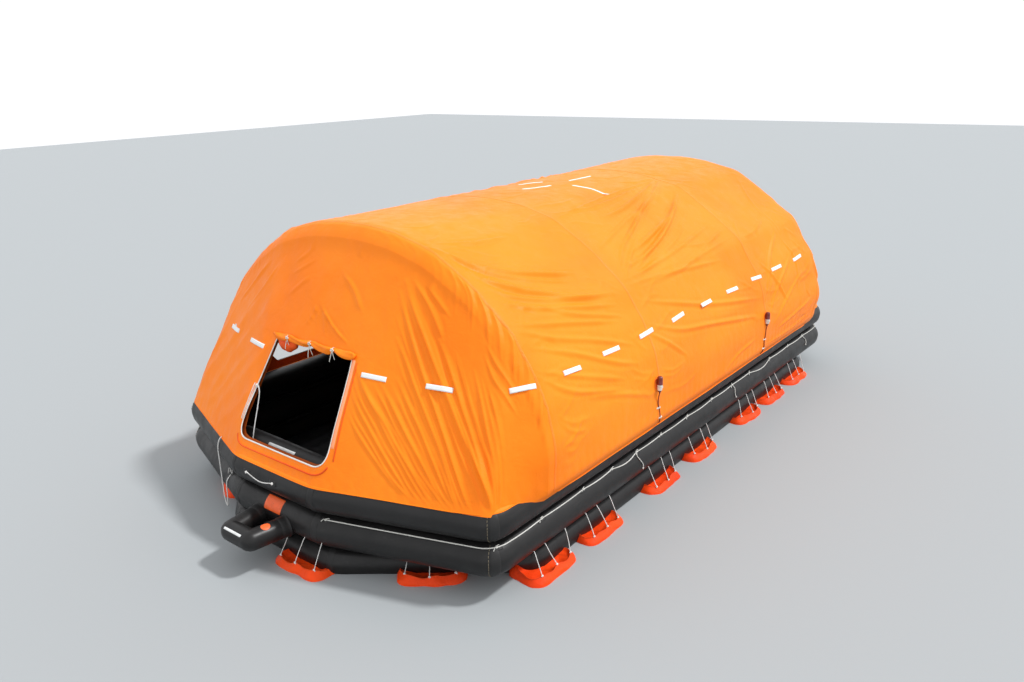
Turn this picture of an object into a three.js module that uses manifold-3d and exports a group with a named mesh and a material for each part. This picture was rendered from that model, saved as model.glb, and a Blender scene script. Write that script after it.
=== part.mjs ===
// Inflatable liferaft with a canopy, for about 100 people. Millimetres, +Z up.
// The origin is in the middle of the raft's plan, level with the bottoms of its water pockets.
// X runs along the raft and its near end is at -X. Y runs across it.
import * as THREE from "three";
import { mergeVertices } from "three/addons/utils/BufferGeometryUtils.js";
import Module from "manifold-3d";

const wasm = await Module();
wasm.setup();

// Clearance between pieces that touch.
const FIT = 0.3;

// Buoyancy tubes: the upper and middle ones are alike, and the lower one is thinner.
const TUBE_R = 185;
const LOWER_R = 155;
const TUBE_SIDES = 20;
// How far from each corner the tubes start to bend.
const CORNER_REACH = 100;

// Centre lines of the tubes in plan: octagons with long straight sides.
const PLAN = { halfLength: 4682, endHalf: 610, cornerX: 4116, halfWidth: 2325 };
const LOWER_PLAN = { halfLength: 4682, endHalf: 740, cornerX: 3500, halfWidth: 2296 };

// Heights.
const POCKET_DROP = 300;
const WATERLINE = POCKET_DROP + 75;
const LOWER_Z = POCKET_DROP + LOWER_R;
const MIDDLE_Z = LOWER_Z + LOWER_R + FIT + TUBE_R;
const UPPER_Z = MIDDLE_Z + 2 * TUBE_R + FIT;
const BORDER_Z = UPPER_Z + 126;

// Canopy: outer cover, air gap and inner liner as one wall.
const WALL = 27;
const ARCH_R = 125;
const ARCH_SIDES = 12;
const ARCH_GAP = 5;
const ARCH_FOOT = 12;
// Outside of the canopy over an arch, from its border on the tube to the ridge.
// y is measured out from the centre line and z up from BORDER_Z.
const PROFILE = [
  { y: 2509, z: -100 },
  { y: 2570, z: 0 },
  { y: 2570, z: 462 },
  { y: 2493, z: 808 },
  { y: 2320, z: 1155 },
  { y: 2069, z: 1490 },
  { y: 1627, z: 1867 },
  { y: 1126, z: 2150 },
  { y: 664, z: 2285 },
  { y: 0, z: 2350 },
];
const SHOULDER = 5;
const ROOF_EDGE = 7;
const RIDGE = PROFILE.length - 1;
// Where the arches stand along the raft.
const ARCH_X = [-3360, -1430, 1600, 3400];
// The roof stays level to a crest outside its last arch and bends down to a fold,
// where the profile is this share of its full height and the end panel starts.
const CREST_REACH = 75;
const FOLD_REACH = 182;
const FOLD_RISE = 0.95;
// Border of the end panels on the upper tube: middle of the tube's end and its corner.
const END_BORDER = { x: 4812, y: 645 };
const CORNER_BORDER = { x: 4235, y: 2397 };
// The wall turns at the end panels' corners, so there its inner face moves by only a share
// of the wall's thickness: along X at the fold and the corner, and along Y at the end.
const INNER_SHARE = { foldX: 0.5, cornerX: 0.7, endY: 0.2 };

// Doors: heights above BORDER_Z and half widths at the bottom and top.
const END_DOOR = { bottom: 173, top: 1155, halfBottom: 720, halfTop: 600, round: 190 };
const SIDE_DOOR = { x: -2450, bottom: 90, top: 1100, halfBottom: 520, halfTop: 430, round: 160 };
// Bodies that cut the doors: an end door's reaches in along X, and the side door's along Y.
const END_CUT = { from: 3600, to: 5000 };
const SIDE_CUT = { from: 1870, to: 2770 };
const ROLL_R = 55;
const ROLL_SIDES = 12;
const ROLL_LIFT = 60;
const ROLL_OVERHANG = 45;
const ROLL_MARGIN = 20;
const SIDE_ROLL_Y = 2360;

// Floor and thwarts.
const FLOOR = { bottom: 360, thickness: 80, inset: 100 };
const THWART_R = 150;
const THWART_X = 1650;

// Boarding ramps: U-shaped tubes on the raft's ends, with a sheet between their arms.
const RAMP = { r: 98, z: 740, halfInner: 235, halfOuter: 165, reach: 5240, offset: 20, inner: 4730 };
const RAMP_SIDES = 16;
const RAMP_BEND = 60;
const RAMP_SHEET = { drop: 66, thickness: 12, inner: 4760 };

// Water pockets hang beside and below the lower tube.
// Each row gives a height, the nearest and farthest reach from the tube's centre line
// and half the pocket's length.
const POCKET_LEVELS = [
  { z: 0, near: -50, far: 215, half: 270 },
  { z: 60, near: -75, far: 275, half: 315 },
  { z: 250, near: -90, far: 325, half: 345 },
  { z: WATERLINE + 30, near: -90, far: 310, half: 330 },
  { z: WATERLINE + 70, near: -60, far: 270, half: 290 },
];
// Cut corners of a pocket's outer side, its flare there and the bulge of its middle.
const POCKET_CORNER = 60;
const POCKET_FLARE = 8;
const POCKET_BULGE = 14;
const SIDE_POCKETS_X = {
  right: [-3442, -2526, -1194, -169, 1244, 2121, 3072],
  left: [-3150, -1750, -700, 250, 1194, 2526, 3442],
};
const END_POCKET_Y = 456;

// Boarding ladder of webbing at the side door.
const LADDER = { halfWidth: 190, strap: 50, thickness: 8, top: UPPER_Z, bottom: 60, rung: 45 };
const LADDER_RUNGS = [130, 400, 670];

// Signal lamps on the canopy's sides, each with its lead to the tube.
const LAMP = { r: 32, bottom: 366, top: 556, leadR: 6, leadBottom: -140, leadTop: 370 };
const LAMP_X = [-1482, 1559];

// Gas cylinders under the floor.
const CYLINDER = { r: 112, length: 1250, y: 900, baseR: 78, base: 67, shoulder: 78, neckR: 39, neck: 60 };

// Ropes. Angles are measured up round a tube from its outermost line.
const LIFELINE = { r: 8, angle: 0.3 * Math.PI, start: 700 };
const LINE_R = 6;
const GRAB_LINE = { from: 370, to: -70, angle: 0.12, sag: 45 };
// The line inside the near door, from the door's edge down into the seat on the upper tube.
const DOOR_LINE = [
  { x: -4422, y: 659.3, z: 1949 },
  { x: -4426, y: 636, z: 1941 },
  { x: -4444, y: 606, z: 1895 },
  { x: -4482, y: 596, z: 1780 },
  { x: -4566, y: 582, z: 1560 },
  { x: -4642, y: 570, z: 1340 },
];
// The free line that hangs from the canopy's border at the near left corner.
// y is where it is along the tubes' centre line, out its distance from that line.
const CORNER_LINE = [
  { y: 1085, out: 134, z: 1304 },
  { y: 1085, out: 149, z: 1298 },
  { y: 1086, out: 168, z: 1271 },
  { y: 1087, out: 185, z: 1220 },
  { y: 1088, out: 192, z: 1160 },
  { y: 1088, out: 193, z: 1060 },
  { y: 1088, out: 194, z: 950 },
  { y: 1087, out: 195, z: 840 },
  { y: 1085, out: 196, z: 730 },
  { y: 1080, out: 197, z: 640 },
  { y: 1070, out: 197, z: 570 },
  { y: 1048, out: 198, z: 525 },
  { y: 1015, out: 198, z: 507 },
  { y: 980, out: 198, z: 520 },
  { y: 955, out: 197, z: 565 },
  { y: 938, out: 197, z: 630 },
  { y: 926, out: 196, z: 710 },
  { y: 916, out: 194, z: 790 },
  { y: 908, out: 183, z: 858 },
  { y: 902, out: 150, z: 903 },
  { y: 900, out: 108, z: 937 },
];

const colours = {
  canopy: 0xff7a10,
  tube: 0x1b1b1d,
  floor: 0x222326,
  pocket: 0xe8380c,
  rope: 0xe9e7e0,
  lamp: 0x6d0d12,
  webbing: 0xd9d4c6,
  steel: 0x7d8288,
};

const raft = new THREE.Group();

function node(name, geometry, colour, roughness = 0.7, metalness = 0) {
  const material = new THREE.MeshStandardMaterial({ color: colour, roughness, metalness });
  const mesh = new THREE.Mesh(geometry, material);
  mesh.name = name;
  raft.add(mesh);
  return mesh;
}

// Solids and booleans

function solid(geometry) {
  const bare = geometry.clone();
  bare.deleteAttribute("normal");
  bare.deleteAttribute("uv");
  const merged = mergeVertices(bare, 1e-3);
  const index = merged.index.array;
  const triVerts = [];
  for (let i = 0; i < index.length; i += 3) {
    const [a, b, c] = [index[i], index[i + 1], index[i + 2]];
    if (a !== b && b !== c && c !== a) triVerts.push(a, b, c);
  }
  const mesh = new wasm.Mesh({
    numProp: 3,
    vertProperties: merged.attributes.position.array,
    triVerts: new Uint32Array(triVerts),
  });
  return new wasm.Manifold(mesh);
}

function geometryOf(manifold) {
  const mesh = manifold.getMesh();
  const geometry = new THREE.BufferGeometry();
  geometry.setAttribute("position", new THREE.BufferAttribute(mesh.vertProperties, 3));
  geometry.setIndex(new THREE.BufferAttribute(mesh.triVerts, 1));
  return geometry;
}

function cut(geometry, ...cutters) {
  const made = cutters.reduce((rest, cutter) => rest.subtract(solid(cutter)), solid(geometry));
  return geometryOf(made);
}

// The largest piece of a geometry that a cut has left in several.
function mainPiece(geometry) {
  const pieces = solid(geometry).decompose();
  pieces.sort((a, b) => b.volume() - a.volume());
  return geometryOf(pieces[0]);
}

// Surfaces from rings and grids of points

function buildGeometry(points, triangles) {
  const geometry = new THREE.BufferGeometry();
  geometry.setAttribute("position", new THREE.Float32BufferAttribute(points.flat(), 3));
  geometry.setIndex(triangles.flat());
  return geometry;
}

// A skin through rings with the same number of points, closed on itself or capped at its ends.
function loft(rings, closed) {
  const sides = rings[0].length;
  const points = rings.flat().map((p) => p.toArray());
  const triangles = [];
  const last = closed ? rings.length : rings.length - 1;
  for (let i = 0; i < last; i++) {
    const a = i * sides;
    const b = ((i + 1) % rings.length) * sides;
    for (let j = 0; j < sides; j++) {
      const k = (j + 1) % sides;
      triangles.push([a + j, a + k, b + k], [a + j, b + k, b + j]);
    }
  }
  if (!closed) {
    const end = (rings.length - 1) * sides;
    for (let j = 1; j < sides - 1; j++) {
      triangles.push([0, j + 1, j], [end, end + j, end + j + 1]);
    }
  }
  return buildGeometry(points, triangles);
}

// A wall between an outer and an inner grid of points, closed round its four edges.
function wall(outer, inner) {
  const rows = outer.length;
  const columns = outer[0].length;
  const points = [...outer.flat(), ...inner.flat()].map((p) => p.toArray());
  const out = (i, j) => i * columns + j;
  const inn = (i, j) => rows * columns + i * columns + j;
  const triangles = [];
  const quad = (a, b, c, d) => triangles.push([a, c, b], [a, d, c]);
  for (let i = 0; i < rows - 1; i++) {
    for (let j = 0; j < columns - 1; j++) {
      quad(out(i, j), out(i, j + 1), out(i + 1, j + 1), out(i + 1, j));
      quad(inn(i, j), inn(i + 1, j), inn(i + 1, j + 1), inn(i, j + 1));
    }
  }
  for (let j = 0; j < columns - 1; j++) {
    quad(out(0, j), inn(0, j), inn(0, j + 1), out(0, j + 1));
    quad(out(rows - 1, j), out(rows - 1, j + 1), inn(rows - 1, j + 1), inn(rows - 1, j));
  }
  for (let i = 0; i < rows - 1; i++) {
    quad(out(i, 0), out(i + 1, 0), inn(i + 1, 0), inn(i, 0));
    quad(out(i, columns - 1), inn(i, columns - 1), inn(i + 1, columns - 1), out(i + 1, columns - 1));
  }
  return buildGeometry(points, triangles);
}

// A tube with mitred corners along points in a plane whose normal is up.
function tube(path, radius, up, closed = false, sides = TUBE_SIDES) {
  const count = path.length;
  const direction = (i) => path[(i + 1) % count].clone().sub(path[i % count]).normalize();
  const rings = path.map((centre, i) => {
    const before = direction(closed ? i + count - 1 : Math.max(i - 1, 0));
    const after = direction(closed ? i : Math.min(i, count - 2));
    const along = before.clone().add(after).normalize();
    const across = up.clone().cross(along);
    const stretch = 1 / along.dot(after);
    return Array.from({ length: sides }, (_, k) => {
      const angle = (2 * Math.PI * k) / sides;
      return centre
        .clone()
        .addScaledVector(across, radius * stretch * Math.cos(angle))
        .addScaledVector(up, radius * Math.sin(angle));
    });
  });
  return loft(rings, closed);
}

const Z_AXIS = new THREE.Vector3(0, 0, 1);
const X_AXIS = new THREE.Vector3(1, 0, 0);

// A path with its corners rounded by curves that start this far from them.
function rounded(path, reach, closed = false) {
  const count = path.length;
  return path.flatMap((corner, i) => {
    if (!closed && (i === 0 || i === count - 1)) return [corner];
    const before = path[(i + count - 1) % count];
    const after = path[(i + 1) % count];
    const from = corner.clone().lerp(before, reach / corner.distanceTo(before));
    const to = corner.clone().lerp(after, reach / corner.distanceTo(after));
    return new THREE.QuadraticBezierCurve3(from, corner, to).getPoints(2);
  });
}

function rope(points, radius, steps, sides = 8) {
  const section = new THREE.Shape(
    Array.from({ length: sides }, (_, k) => {
      const angle = (2 * Math.PI * k) / sides;
      return new THREE.Vector2(radius * Math.cos(angle), radius * Math.sin(angle));
    }),
  );
  const path = new THREE.CatmullRomCurve3(points, false, "centripetal");
  return new THREE.ExtrudeGeometry(section, { steps, extrudePath: path, bevelEnabled: false });
}

// Buoyancy tubes

function planPath({ halfLength, endHalf, cornerX, halfWidth }, z) {
  const quarter = [
    [cornerX, halfWidth],
    [halfLength, endHalf],
  ];
  const outline = [
    ...quarter.map(([x, y]) => [-x, -y]).reverse(),
    ...quarter.map(([x, y]) => [x, -y]),
    ...quarter.map(([x, y]) => [x, y]).reverse(),
    ...quarter.map(([x, y]) => [-x, y]),
  ];
  return outline.map(([x, y]) => new THREE.Vector3(x, y, z));
}

const ringTube = (plan, z, radius) => {
  const path = rounded(planPath(plan, z), CORNER_REACH, true);
  return tube(path, radius, Z_AXIS, true);
};
const upperTube = ringTube(PLAN, UPPER_Z, TUBE_R);
const middleTube = ringTube(PLAN, MIDDLE_Z, TUBE_R);
const lowerTube = ringTube(LOWER_PLAN, LOWER_Z, LOWER_R);
// The same tubes a little fatter, to cut the pieces that rest on them.
const upperSeat = ringTube(PLAN, UPPER_Z, TUBE_R + FIT);
const middleSeat = ringTube(PLAN, MIDDLE_Z, TUBE_R + FIT);
const lowerSeat = ringTube(LOWER_PLAN, LOWER_Z, LOWER_R + FIT);

function addTubes() {
  node("upper_tube", upperTube, colours.tube);
  node("middle_tube", middleTube, colours.tube);
  node("lower_tube", lowerTube, colours.tube);
}

// Floor and thwarts

function addFloor() {
  const outline = planPath(LOWER_PLAN, 0).map((p) => {
    const x = p.x - Math.sign(p.x) * FLOOR.inset;
    const y = p.y - Math.sign(p.y) * FLOOR.inset;
    return new THREE.Vector2(x, y);
  });
  const slab = new THREE.ExtrudeGeometry(new THREE.Shape(outline), {
    depth: FLOOR.thickness,
    bevelEnabled: false,
  });
  slab.translate(0, 0, FLOOR.bottom);
  node("floor", mainPiece(cut(slab, lowerSeat)), colours.floor, 0.8);
}

const floorTop = FLOOR.bottom + FLOOR.thickness;

function addThwarts() {
  for (const [i, x] of [-THWART_X, THWART_X].entries()) {
    const z = floorTop + FIT + THWART_R;
    const ends = [-PLAN.halfWidth, PLAN.halfWidth].map((y) => new THREE.Vector3(x, y, z));
    const bar = tube(ends, THWART_R, X_AXIS);
    node("thwart_" + (i + 1), mainPiece(cut(bar, middleSeat, lowerSeat)), colours.tube);
  }
}

// Canopy

// The canopy's outline at one station, from the right border over the ridge to the left one,
// moved inwards by inset.
function profileLine(rise, inset = 0) {
  const half = PROFILE.map(({ y, z }) => new THREE.Vector2(y, z > 0 ? z * rise : z));
  const full = [
    ...half.map((p) => new THREE.Vector2(-p.x, p.y)),
    ...half.slice(0, -1).reverse(),
  ];
  return full.map((p, i) => {
    const before = full[Math.max(i - 1, 0)];
    const after = full[Math.min(i + 1, full.length - 1)];
    const tangent = after.clone().sub(before).normalize();
    return new THREE.Vector2(p.x + inset * tangent.y, p.y - inset * tangent.x);
  });
}

function station(x, rise, inset) {
  return profileLine(rise, inset).map((p) => new THREE.Vector3(x, p.x, p.y + BORDER_Z));
}

// A door's outline, with its bottom corners rounded; u runs along the wall and v up it.
function doorShape({ bottom, top, halfBottom, halfTop, round }) {
  const slope = (halfBottom - halfTop) / (top - bottom);
  const shape = new THREE.Shape();
  shape.moveTo(-halfTop, top);
  shape.lineTo(-halfBottom + slope * round, bottom + round);
  shape.quadraticCurveTo(-halfBottom, bottom, -halfBottom + round, bottom);
  shape.lineTo(halfBottom - round, bottom);
  shape.quadraticCurveTo(halfBottom, bottom, halfBottom - slope * round, bottom + round);
  shape.lineTo(halfTop, top);
  return shape;
}

function doorCutter(door, depth) {
  return new THREE.ExtrudeGeometry(doorShape(door), {
    depth,
    bevelEnabled: false,
    curveSegments: 5,
  });
}

// The cutter of an end door; end is -1 at the near end and 1 at the far one.
function endDoorCutter(end) {
  const cutter = doorCutter(END_DOOR, END_CUT.to - END_CUT.from);
  cutter.rotateX(Math.PI / 2);
  cutter.rotateZ((end * Math.PI) / 2);
  cutter.translate(end * END_CUT.from, 0, BORDER_Z);
  return cutter;
}

function sideDoorCutter() {
  const cutter = doorCutter(SIDE_DOOR, SIDE_CUT.to - SIDE_CUT.from);
  cutter.rotateX(Math.PI / 2);
  cutter.translate(SIDE_DOOR.x, SIDE_CUT.to, BORDER_Z);
  return cutter;
}

// Where each point of the profile line meets the end's border on the tube, inset by the wall
// for its inner face.
function endBorder(end, foldX, inset) {
  const foot = profileLine(FOLD_RISE, inset)[0];
  const endX = end * (END_BORDER.x - inset);
  const endY = END_BORDER.y - INNER_SHARE.endY * inset;
  const cornerX = end * (CORNER_BORDER.x - INNER_SHARE.cornerX * inset);
  const marks = [
    { at: 0, x: foldX - end * INNER_SHARE.foldX * inset, y: -foot.x, z: foot.y },
    { at: SHOULDER, x: cornerX, y: CORNER_BORDER.y - inset, z: 0 },
    { at: ROOF_EDGE, x: endX, y: endY, z: 0 },
    { at: RIDGE, x: endX, y: 0, z: 0 },
  ];
  const half = PROFILE.map((_, i) => {
    const next = Math.max(1, marks.findIndex((mark) => mark.at >= i));
    const [a, b] = [marks[next - 1], marks[next]];
    const t = (i - a.at) / (b.at - a.at);
    const mix = (key) => a[key] + t * (b[key] - a[key]);
    return new THREE.Vector3(mix("x"), -mix("y"), mix("z") + BORDER_Z);
  });
  const mirrored = half.slice(0, -1).reverse();
  return [...half, ...mirrored.map((p) => new THREE.Vector3(p.x, -p.y, p.z))];
}

function endPanel(end) {
  const archX = ARCH_X[end < 0 ? 0 : ARCH_X.length - 1];
  const foldX = archX + end * FOLD_REACH;
  const grid = (inset) => {
    const border = endBorder(end, foldX, inset);
    const fold = station(foldX - end * INNER_SHARE.foldX * inset, FOLD_RISE, inset);
    const halfway = border.map((p, j) => p.clone().lerp(fold[j], 0.5));
    const crest = station(archX + end * CREST_REACH, 1, inset);
    const seam = station(archX + (end * FIT) / 2, 1, inset);
    const rows = [border, halfway, fold, crest, seam];
    return end < 0 ? rows : rows.reverse();
  };
  return wall(grid(0), grid(WALL));
}

function bayPanel(from, to) {
  const rows = [from + FIT / 2, (from + to) / 2, to - FIT / 2];
  const grid = (inset) => rows.map((x) => station(x, 1, inset));
  return wall(grid(0), grid(WALL));
}

function addCanopy() {
  const bays = ARCH_X.slice(1).map((to, i) => bayPanel(ARCH_X[i], to));
  node("canopy_near_end", cut(endPanel(-1), upperSeat, endDoorCutter(-1)), colours.canopy);
  node("canopy_bay_1", cut(bays[0], upperSeat, sideDoorCutter()), colours.canopy);
  node("canopy_bay_2", cut(bays[1], upperSeat), colours.canopy);
  node("canopy_bay_3", cut(bays[2], upperSeat), colours.canopy);
  node("canopy_far_end", cut(endPanel(1), upperSeat, endDoorCutter(1)), colours.canopy);
}

// Arches: inflated tubes that stand on the upper tube and follow the canopy inside.
function archPath(x) {
  const inset = WALL + ARCH_R + ARCH_GAP;
  const path = station(x, 1, inset).slice(1, -1);
  path[0].z = BORDER_Z + ARCH_FOOT;
  path[path.length - 1].z = BORDER_Z + ARCH_FOOT;
  return path;
}

function addArches() {
  for (const [i, x] of ARCH_X.entries()) {
    const hoop = tube(archPath(x), ARCH_R, X_AXIS, false, ARCH_SIDES);
    node("arch_" + (i + 1), mainPiece(cut(hoop, upperSeat)), colours.tube);
  }
}

// Boarding ramps

function rampPath(end) {
  const at = (x, y) => new THREE.Vector3(end * x, y - end * RAMP.offset, RAMP.z);
  const corners = [
    at(RAMP.inner, -RAMP.halfInner),
    at(RAMP.reach, -RAMP.halfOuter),
    at(RAMP.reach, RAMP.halfOuter),
    at(RAMP.inner, RAMP.halfInner),
  ];
  return rounded(corners, RAMP_BEND);
}

function addRamp(name, end) {
  const u = tube(rampPath(end), RAMP.r, Z_AXIS, false, RAMP_SIDES);
  const seat = tube(rampPath(end), RAMP.r + FIT, Z_AXIS, false, RAMP_SIDES);
  node(name, mainPiece(cut(u, middleSeat, lowerSeat)), colours.tube);
  const length = RAMP.reach - RAMP_SHEET.inner;
  const sheet = new THREE.BoxGeometry(length, 2 * RAMP.halfOuter, RAMP_SHEET.thickness);
  const middle = end * (RAMP_SHEET.inner + length / 2);
  sheet.translate(middle, -end * RAMP.offset, RAMP.z - RAMP_SHEET.drop);
  node(name + "_floor", mainPiece(cut(sheet, seat, middleSeat, lowerSeat)), colours.tube, 0.8);
}

// Water pockets

function pocketGeometry() {
  const rings = POCKET_LEVELS.map(({ z, near, far, half }) => {
    const outline = [
      [-half, near],
      [half, near],
      [half + POCKET_FLARE, far - POCKET_CORNER],
      [half - POCKET_CORNER, far],
      [0, far + POCKET_BULGE],
      [-half + POCKET_CORNER, far],
      [-half - POCKET_FLARE, far - POCKET_CORNER],
    ];
    // u runs along the tube and v away from the raft, which is towards -Y.
    return outline.map(([u, v]) => new THREE.Vector3(u, -v, z)).reverse();
  });
  return loft(rings, false);
}

function addPocket(name, x, y, turn) {
  const bag = pocketGeometry();
  bag.rotateZ(turn);
  bag.translate(x, y, 0);
  node(name, mainPiece(cut(bag, lowerSeat)), colours.pocket);
}

function addPockets() {
  const { halfLength, endHalf, cornerX, halfWidth } = LOWER_PLAN;
  SIDE_POCKETS_X.right.forEach((x, i) => addPocket("pocket_right_" + (i + 1), x, -halfWidth, 0));
  SIDE_POCKETS_X.left.forEach((x, i) => addPocket("pocket_left_" + (i + 1), x, halfWidth, Math.PI));
  const x = (halfLength + cornerX) / 2;
  const y = (endHalf + halfWidth) / 2;
  const lean = Math.atan2(halfLength - cornerX, halfWidth - endHalf);
  addPocket("pocket_near_1", -halfLength, -END_POCKET_Y, -Math.PI / 2);
  addPocket("pocket_near_2", -x, -y, -Math.PI / 2 + lean);
  addPocket("pocket_near_3", -x, y, -Math.PI / 2 - lean);
  addPocket("pocket_far_1", halfLength, END_POCKET_Y, Math.PI / 2);
  addPocket("pocket_far_2", x, y, Math.PI / 2 + lean);
  addPocket("pocket_far_3", x, -y, Math.PI / 2 - lean);
}

// Small pieces

// Spare flap of each door, rolled up and tied over it.
function addDoorRolls() {
  const seatedOn = (panel, ends, up) => {
    const roll = tube(ends, ROLL_R, up, false, ROLL_SIDES);
    return mainPiece(cut(roll, panel));
  };
  const endHeight = END_DOOR.top + ROLL_LIFT;
  for (const [name, end, archX] of [
    ["door_roll_near", -1, ARCH_X[0]],
    ["door_roll_far", 1, ARCH_X.at(-1)],
  ]) {
    const foldX = Math.abs(archX) + FOLD_REACH;
    const lean = (END_BORDER.x - foldX) / (FOLD_RISE * PROFILE[RIDGE].z);
    const x = end * (END_BORDER.x - lean * endHeight + ROLL_OVERHANG);
    const half = END_DOOR.halfTop + ROLL_MARGIN;
    const ends = [-half, half].map((y) => new THREE.Vector3(x, y, BORDER_Z + endHeight));
    const panel = endPanel(end).translate(end * FIT, 0, FIT);
    node(name, seatedOn(panel, ends, X_AXIS), colours.canopy);
  }
  const height = SIDE_DOOR.top + ROLL_LIFT;
  const half = SIDE_DOOR.halfTop + ROLL_MARGIN;
  const ends = [-half, half].map(
    (x) => new THREE.Vector3(SIDE_DOOR.x + x, SIDE_ROLL_Y, BORDER_Z + height),
  );
  const panel = bayPanel(ARCH_X[0], ARCH_X[1]).translate(0, FIT, 0);
  node("door_roll_side", seatedOn(panel, ends, Z_AXIS), colours.canopy);
}

function addLadder() {
  const { halfWidth, strap, thickness, top, bottom, rung } = LADDER;
  const y = PLAN.halfWidth + TUBE_R + FIT + thickness / 2;
  const height = top - bottom;
  const straps = [-1, 1].map((side) => {
    const box = new THREE.BoxGeometry(strap, thickness, height);
    box.translate(SIDE_DOOR.x + side * (halfWidth - strap / 2), y, bottom + height / 2);
    return solid(box);
  });
  const rungs = LADDER_RUNGS.map((z) => {
    const box = new THREE.BoxGeometry(2 * halfWidth, thickness * 2, rung);
    box.translate(SIDE_DOOR.x, y + thickness / 2, z);
    return solid(box);
  });
  const made = [...straps, ...rungs].reduce((a, b) => a.add(b));
  node("boarding_ladder", geometryOf(made), colours.webbing, 0.9);
}

function addLamps() {
  const { r, bottom, top, leadR, leadBottom, leadTop } = LAMP;
  const wallY = PROFILE[1].y + FIT;
  for (const [side, label] of [
    [-1, "right"],
    [1, "left"],
  ]) {
    for (const [i, x] of LAMP_X.entries()) {
      const body = new THREE.CylinderGeometry(r, r, top - bottom, 12);
      body.rotateX(Math.PI / 2);
      body.translate(x, side * (wallY + r), BORDER_Z + (top + bottom) / 2);
      const lead = new THREE.CylinderGeometry(leadR, leadR, leadTop - leadBottom, 8);
      lead.rotateX(Math.PI / 2);
      lead.translate(x, side * (wallY + leadR), BORDER_Z + (leadTop + leadBottom) / 2);
      const made = solid(body).add(solid(lead));
      node("lamp_" + label + "_" + (i + 1), geometryOf(made), colours.lamp, 0.5);
    }
  }
}

function addGasCylinders() {
  const { r, length, baseR, base, shoulder, neckR, neck } = CYLINDER;
  const profile = [
    [0, -length / 2],
    [baseR, -length / 2],
    [r, -length / 2 + base],
    [r, length / 2 - shoulder],
    [neckR, length / 2],
    [neckR, length / 2 + neck],
    [0, length / 2 + neck],
  ].map(([radius, along]) => new THREE.Vector2(radius, along));
  for (const [i, y] of [-CYLINDER.y, CYLINDER.y].entries()) {
    const bottle = new THREE.LatheGeometry(profile, 16);
    bottle.rotateZ(-Math.PI / 2);
    bottle.translate(0, y, FLOOR.bottom - FIT - r);
    node("gas_cylinder_" + (i + 1), bottle, colours.steel, 0.4, 0.8);
  }
}

// The plan of a line that runs this far outside a tube's centre line.
function offsetPlan({ halfLength, endHalf, cornerX, halfWidth }, out) {
  const run = halfLength - cornerX;
  const rise = halfWidth - endHalf;
  const length = Math.hypot(run, rise);
  return {
    halfLength: halfLength + out,
    endHalf: endHalf + (out * (length - rise)) / run,
    cornerX: cornerX + (out * (length - run)) / rise,
    halfWidth: halfWidth + out,
  };
}

// Where a line of this radius touches the middle or upper tube, at an angle round it.
function besideTube(radius, angle) {
  const reach = TUBE_R + radius;
  return { out: reach * Math.cos(angle), up: reach * Math.sin(angle) };
}

// Lifelines lie on the middle tube. The right one runs from ramp to ramp, and the left one starts
// at the near corner, where the corner line hangs.
function addLifelines() {
  const { out, up } = besideTube(LIFELINE.r, LIFELINE.angle);
  const plan = offsetPlan(PLAN, out);
  const z = MIDDLE_Z + up;
  const chamfer = (plan.halfWidth - plan.endHalf) / (plan.halfLength - plan.cornerX);
  const startX = plan.halfLength - (LIFELINE.start - plan.endHalf) / chamfer;
  for (const [side, label] of [
    [-1, "right"],
    [1, "left"],
  ]) {
    const corners = [
      [-startX, LIFELINE.start],
      [-plan.cornerX, plan.halfWidth],
      [plan.cornerX, plan.halfWidth],
      [startX, LIFELINE.start],
    ].map(([x, y]) => new THREE.Vector3(x, side * y, z));
    const run = side < 0 ? corners : corners.slice(1);
    const line = tube(rounded(run, CORNER_REACH), LIFELINE.r, Z_AXIS, false, 8);
    node("lifeline_" + label, mainPiece(cut(line, middleSeat)), colours.rope, 0.9);
  }
}

// A short line across the upper tube's end, over the near ramp.
function addGrabLine() {
  const { out, up } = besideTube(LINE_R, GRAB_LINE.angle);
  const x = -PLAN.halfLength - out;
  const z = UPPER_Z + up;
  const middle = (GRAB_LINE.from + GRAB_LINE.to) / 2;
  const points = [
    new THREE.Vector3(x, GRAB_LINE.from, z),
    new THREE.Vector3(x, middle, z - GRAB_LINE.sag),
    new THREE.Vector3(x, GRAB_LINE.to, z),
  ];
  node("grab_line", mainPiece(cut(rope(points, LINE_R, 12), upperSeat)), colours.rope, 0.9);
}

function addDoorLine() {
  const points = DOOR_LINE.map(({ x, y, z }) => new THREE.Vector3(x, y, z));
  node("door_line", mainPiece(cut(rope(points, LINE_R, 24), upperSeat)), colours.rope, 0.9);
}

function addCornerLine() {
  const run = PLAN.halfLength - PLAN.cornerX;
  const rise = PLAN.halfWidth - PLAN.endHalf;
  const length = Math.hypot(run, rise);
  const points = CORNER_LINE.map(({ y, out, z }) => {
    const x = -PLAN.halfLength + ((y - PLAN.endHalf) * run) / rise;
    return new THREE.Vector3(x - (out * rise) / length, y + (out * run) / length, z);
  });
  const line = rope(points, LINE_R, 60);
  const panel = endPanel(-1).translate(-FIT, FIT, 0);
  node("corner_line", mainPiece(cut(line, panel, middleSeat)), colours.rope, 0.9);
}

addTubes();
addFloor();
addThwarts();
addCanopy();
addArches();
addRamp("ramp_near", -1);
addRamp("ramp_far", 1);
addPockets();
addDoorRolls();
addLadder();
addLamps();
addGasCylinders();
addLifelines();
addGrabLine();
addDoorLine();
addCornerLine();

export default raft;
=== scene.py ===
import math

import bpy
import numpy as np
from mathutils import Matrix, Vector
from mathutils.bvhtree import BVHTree


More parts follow.
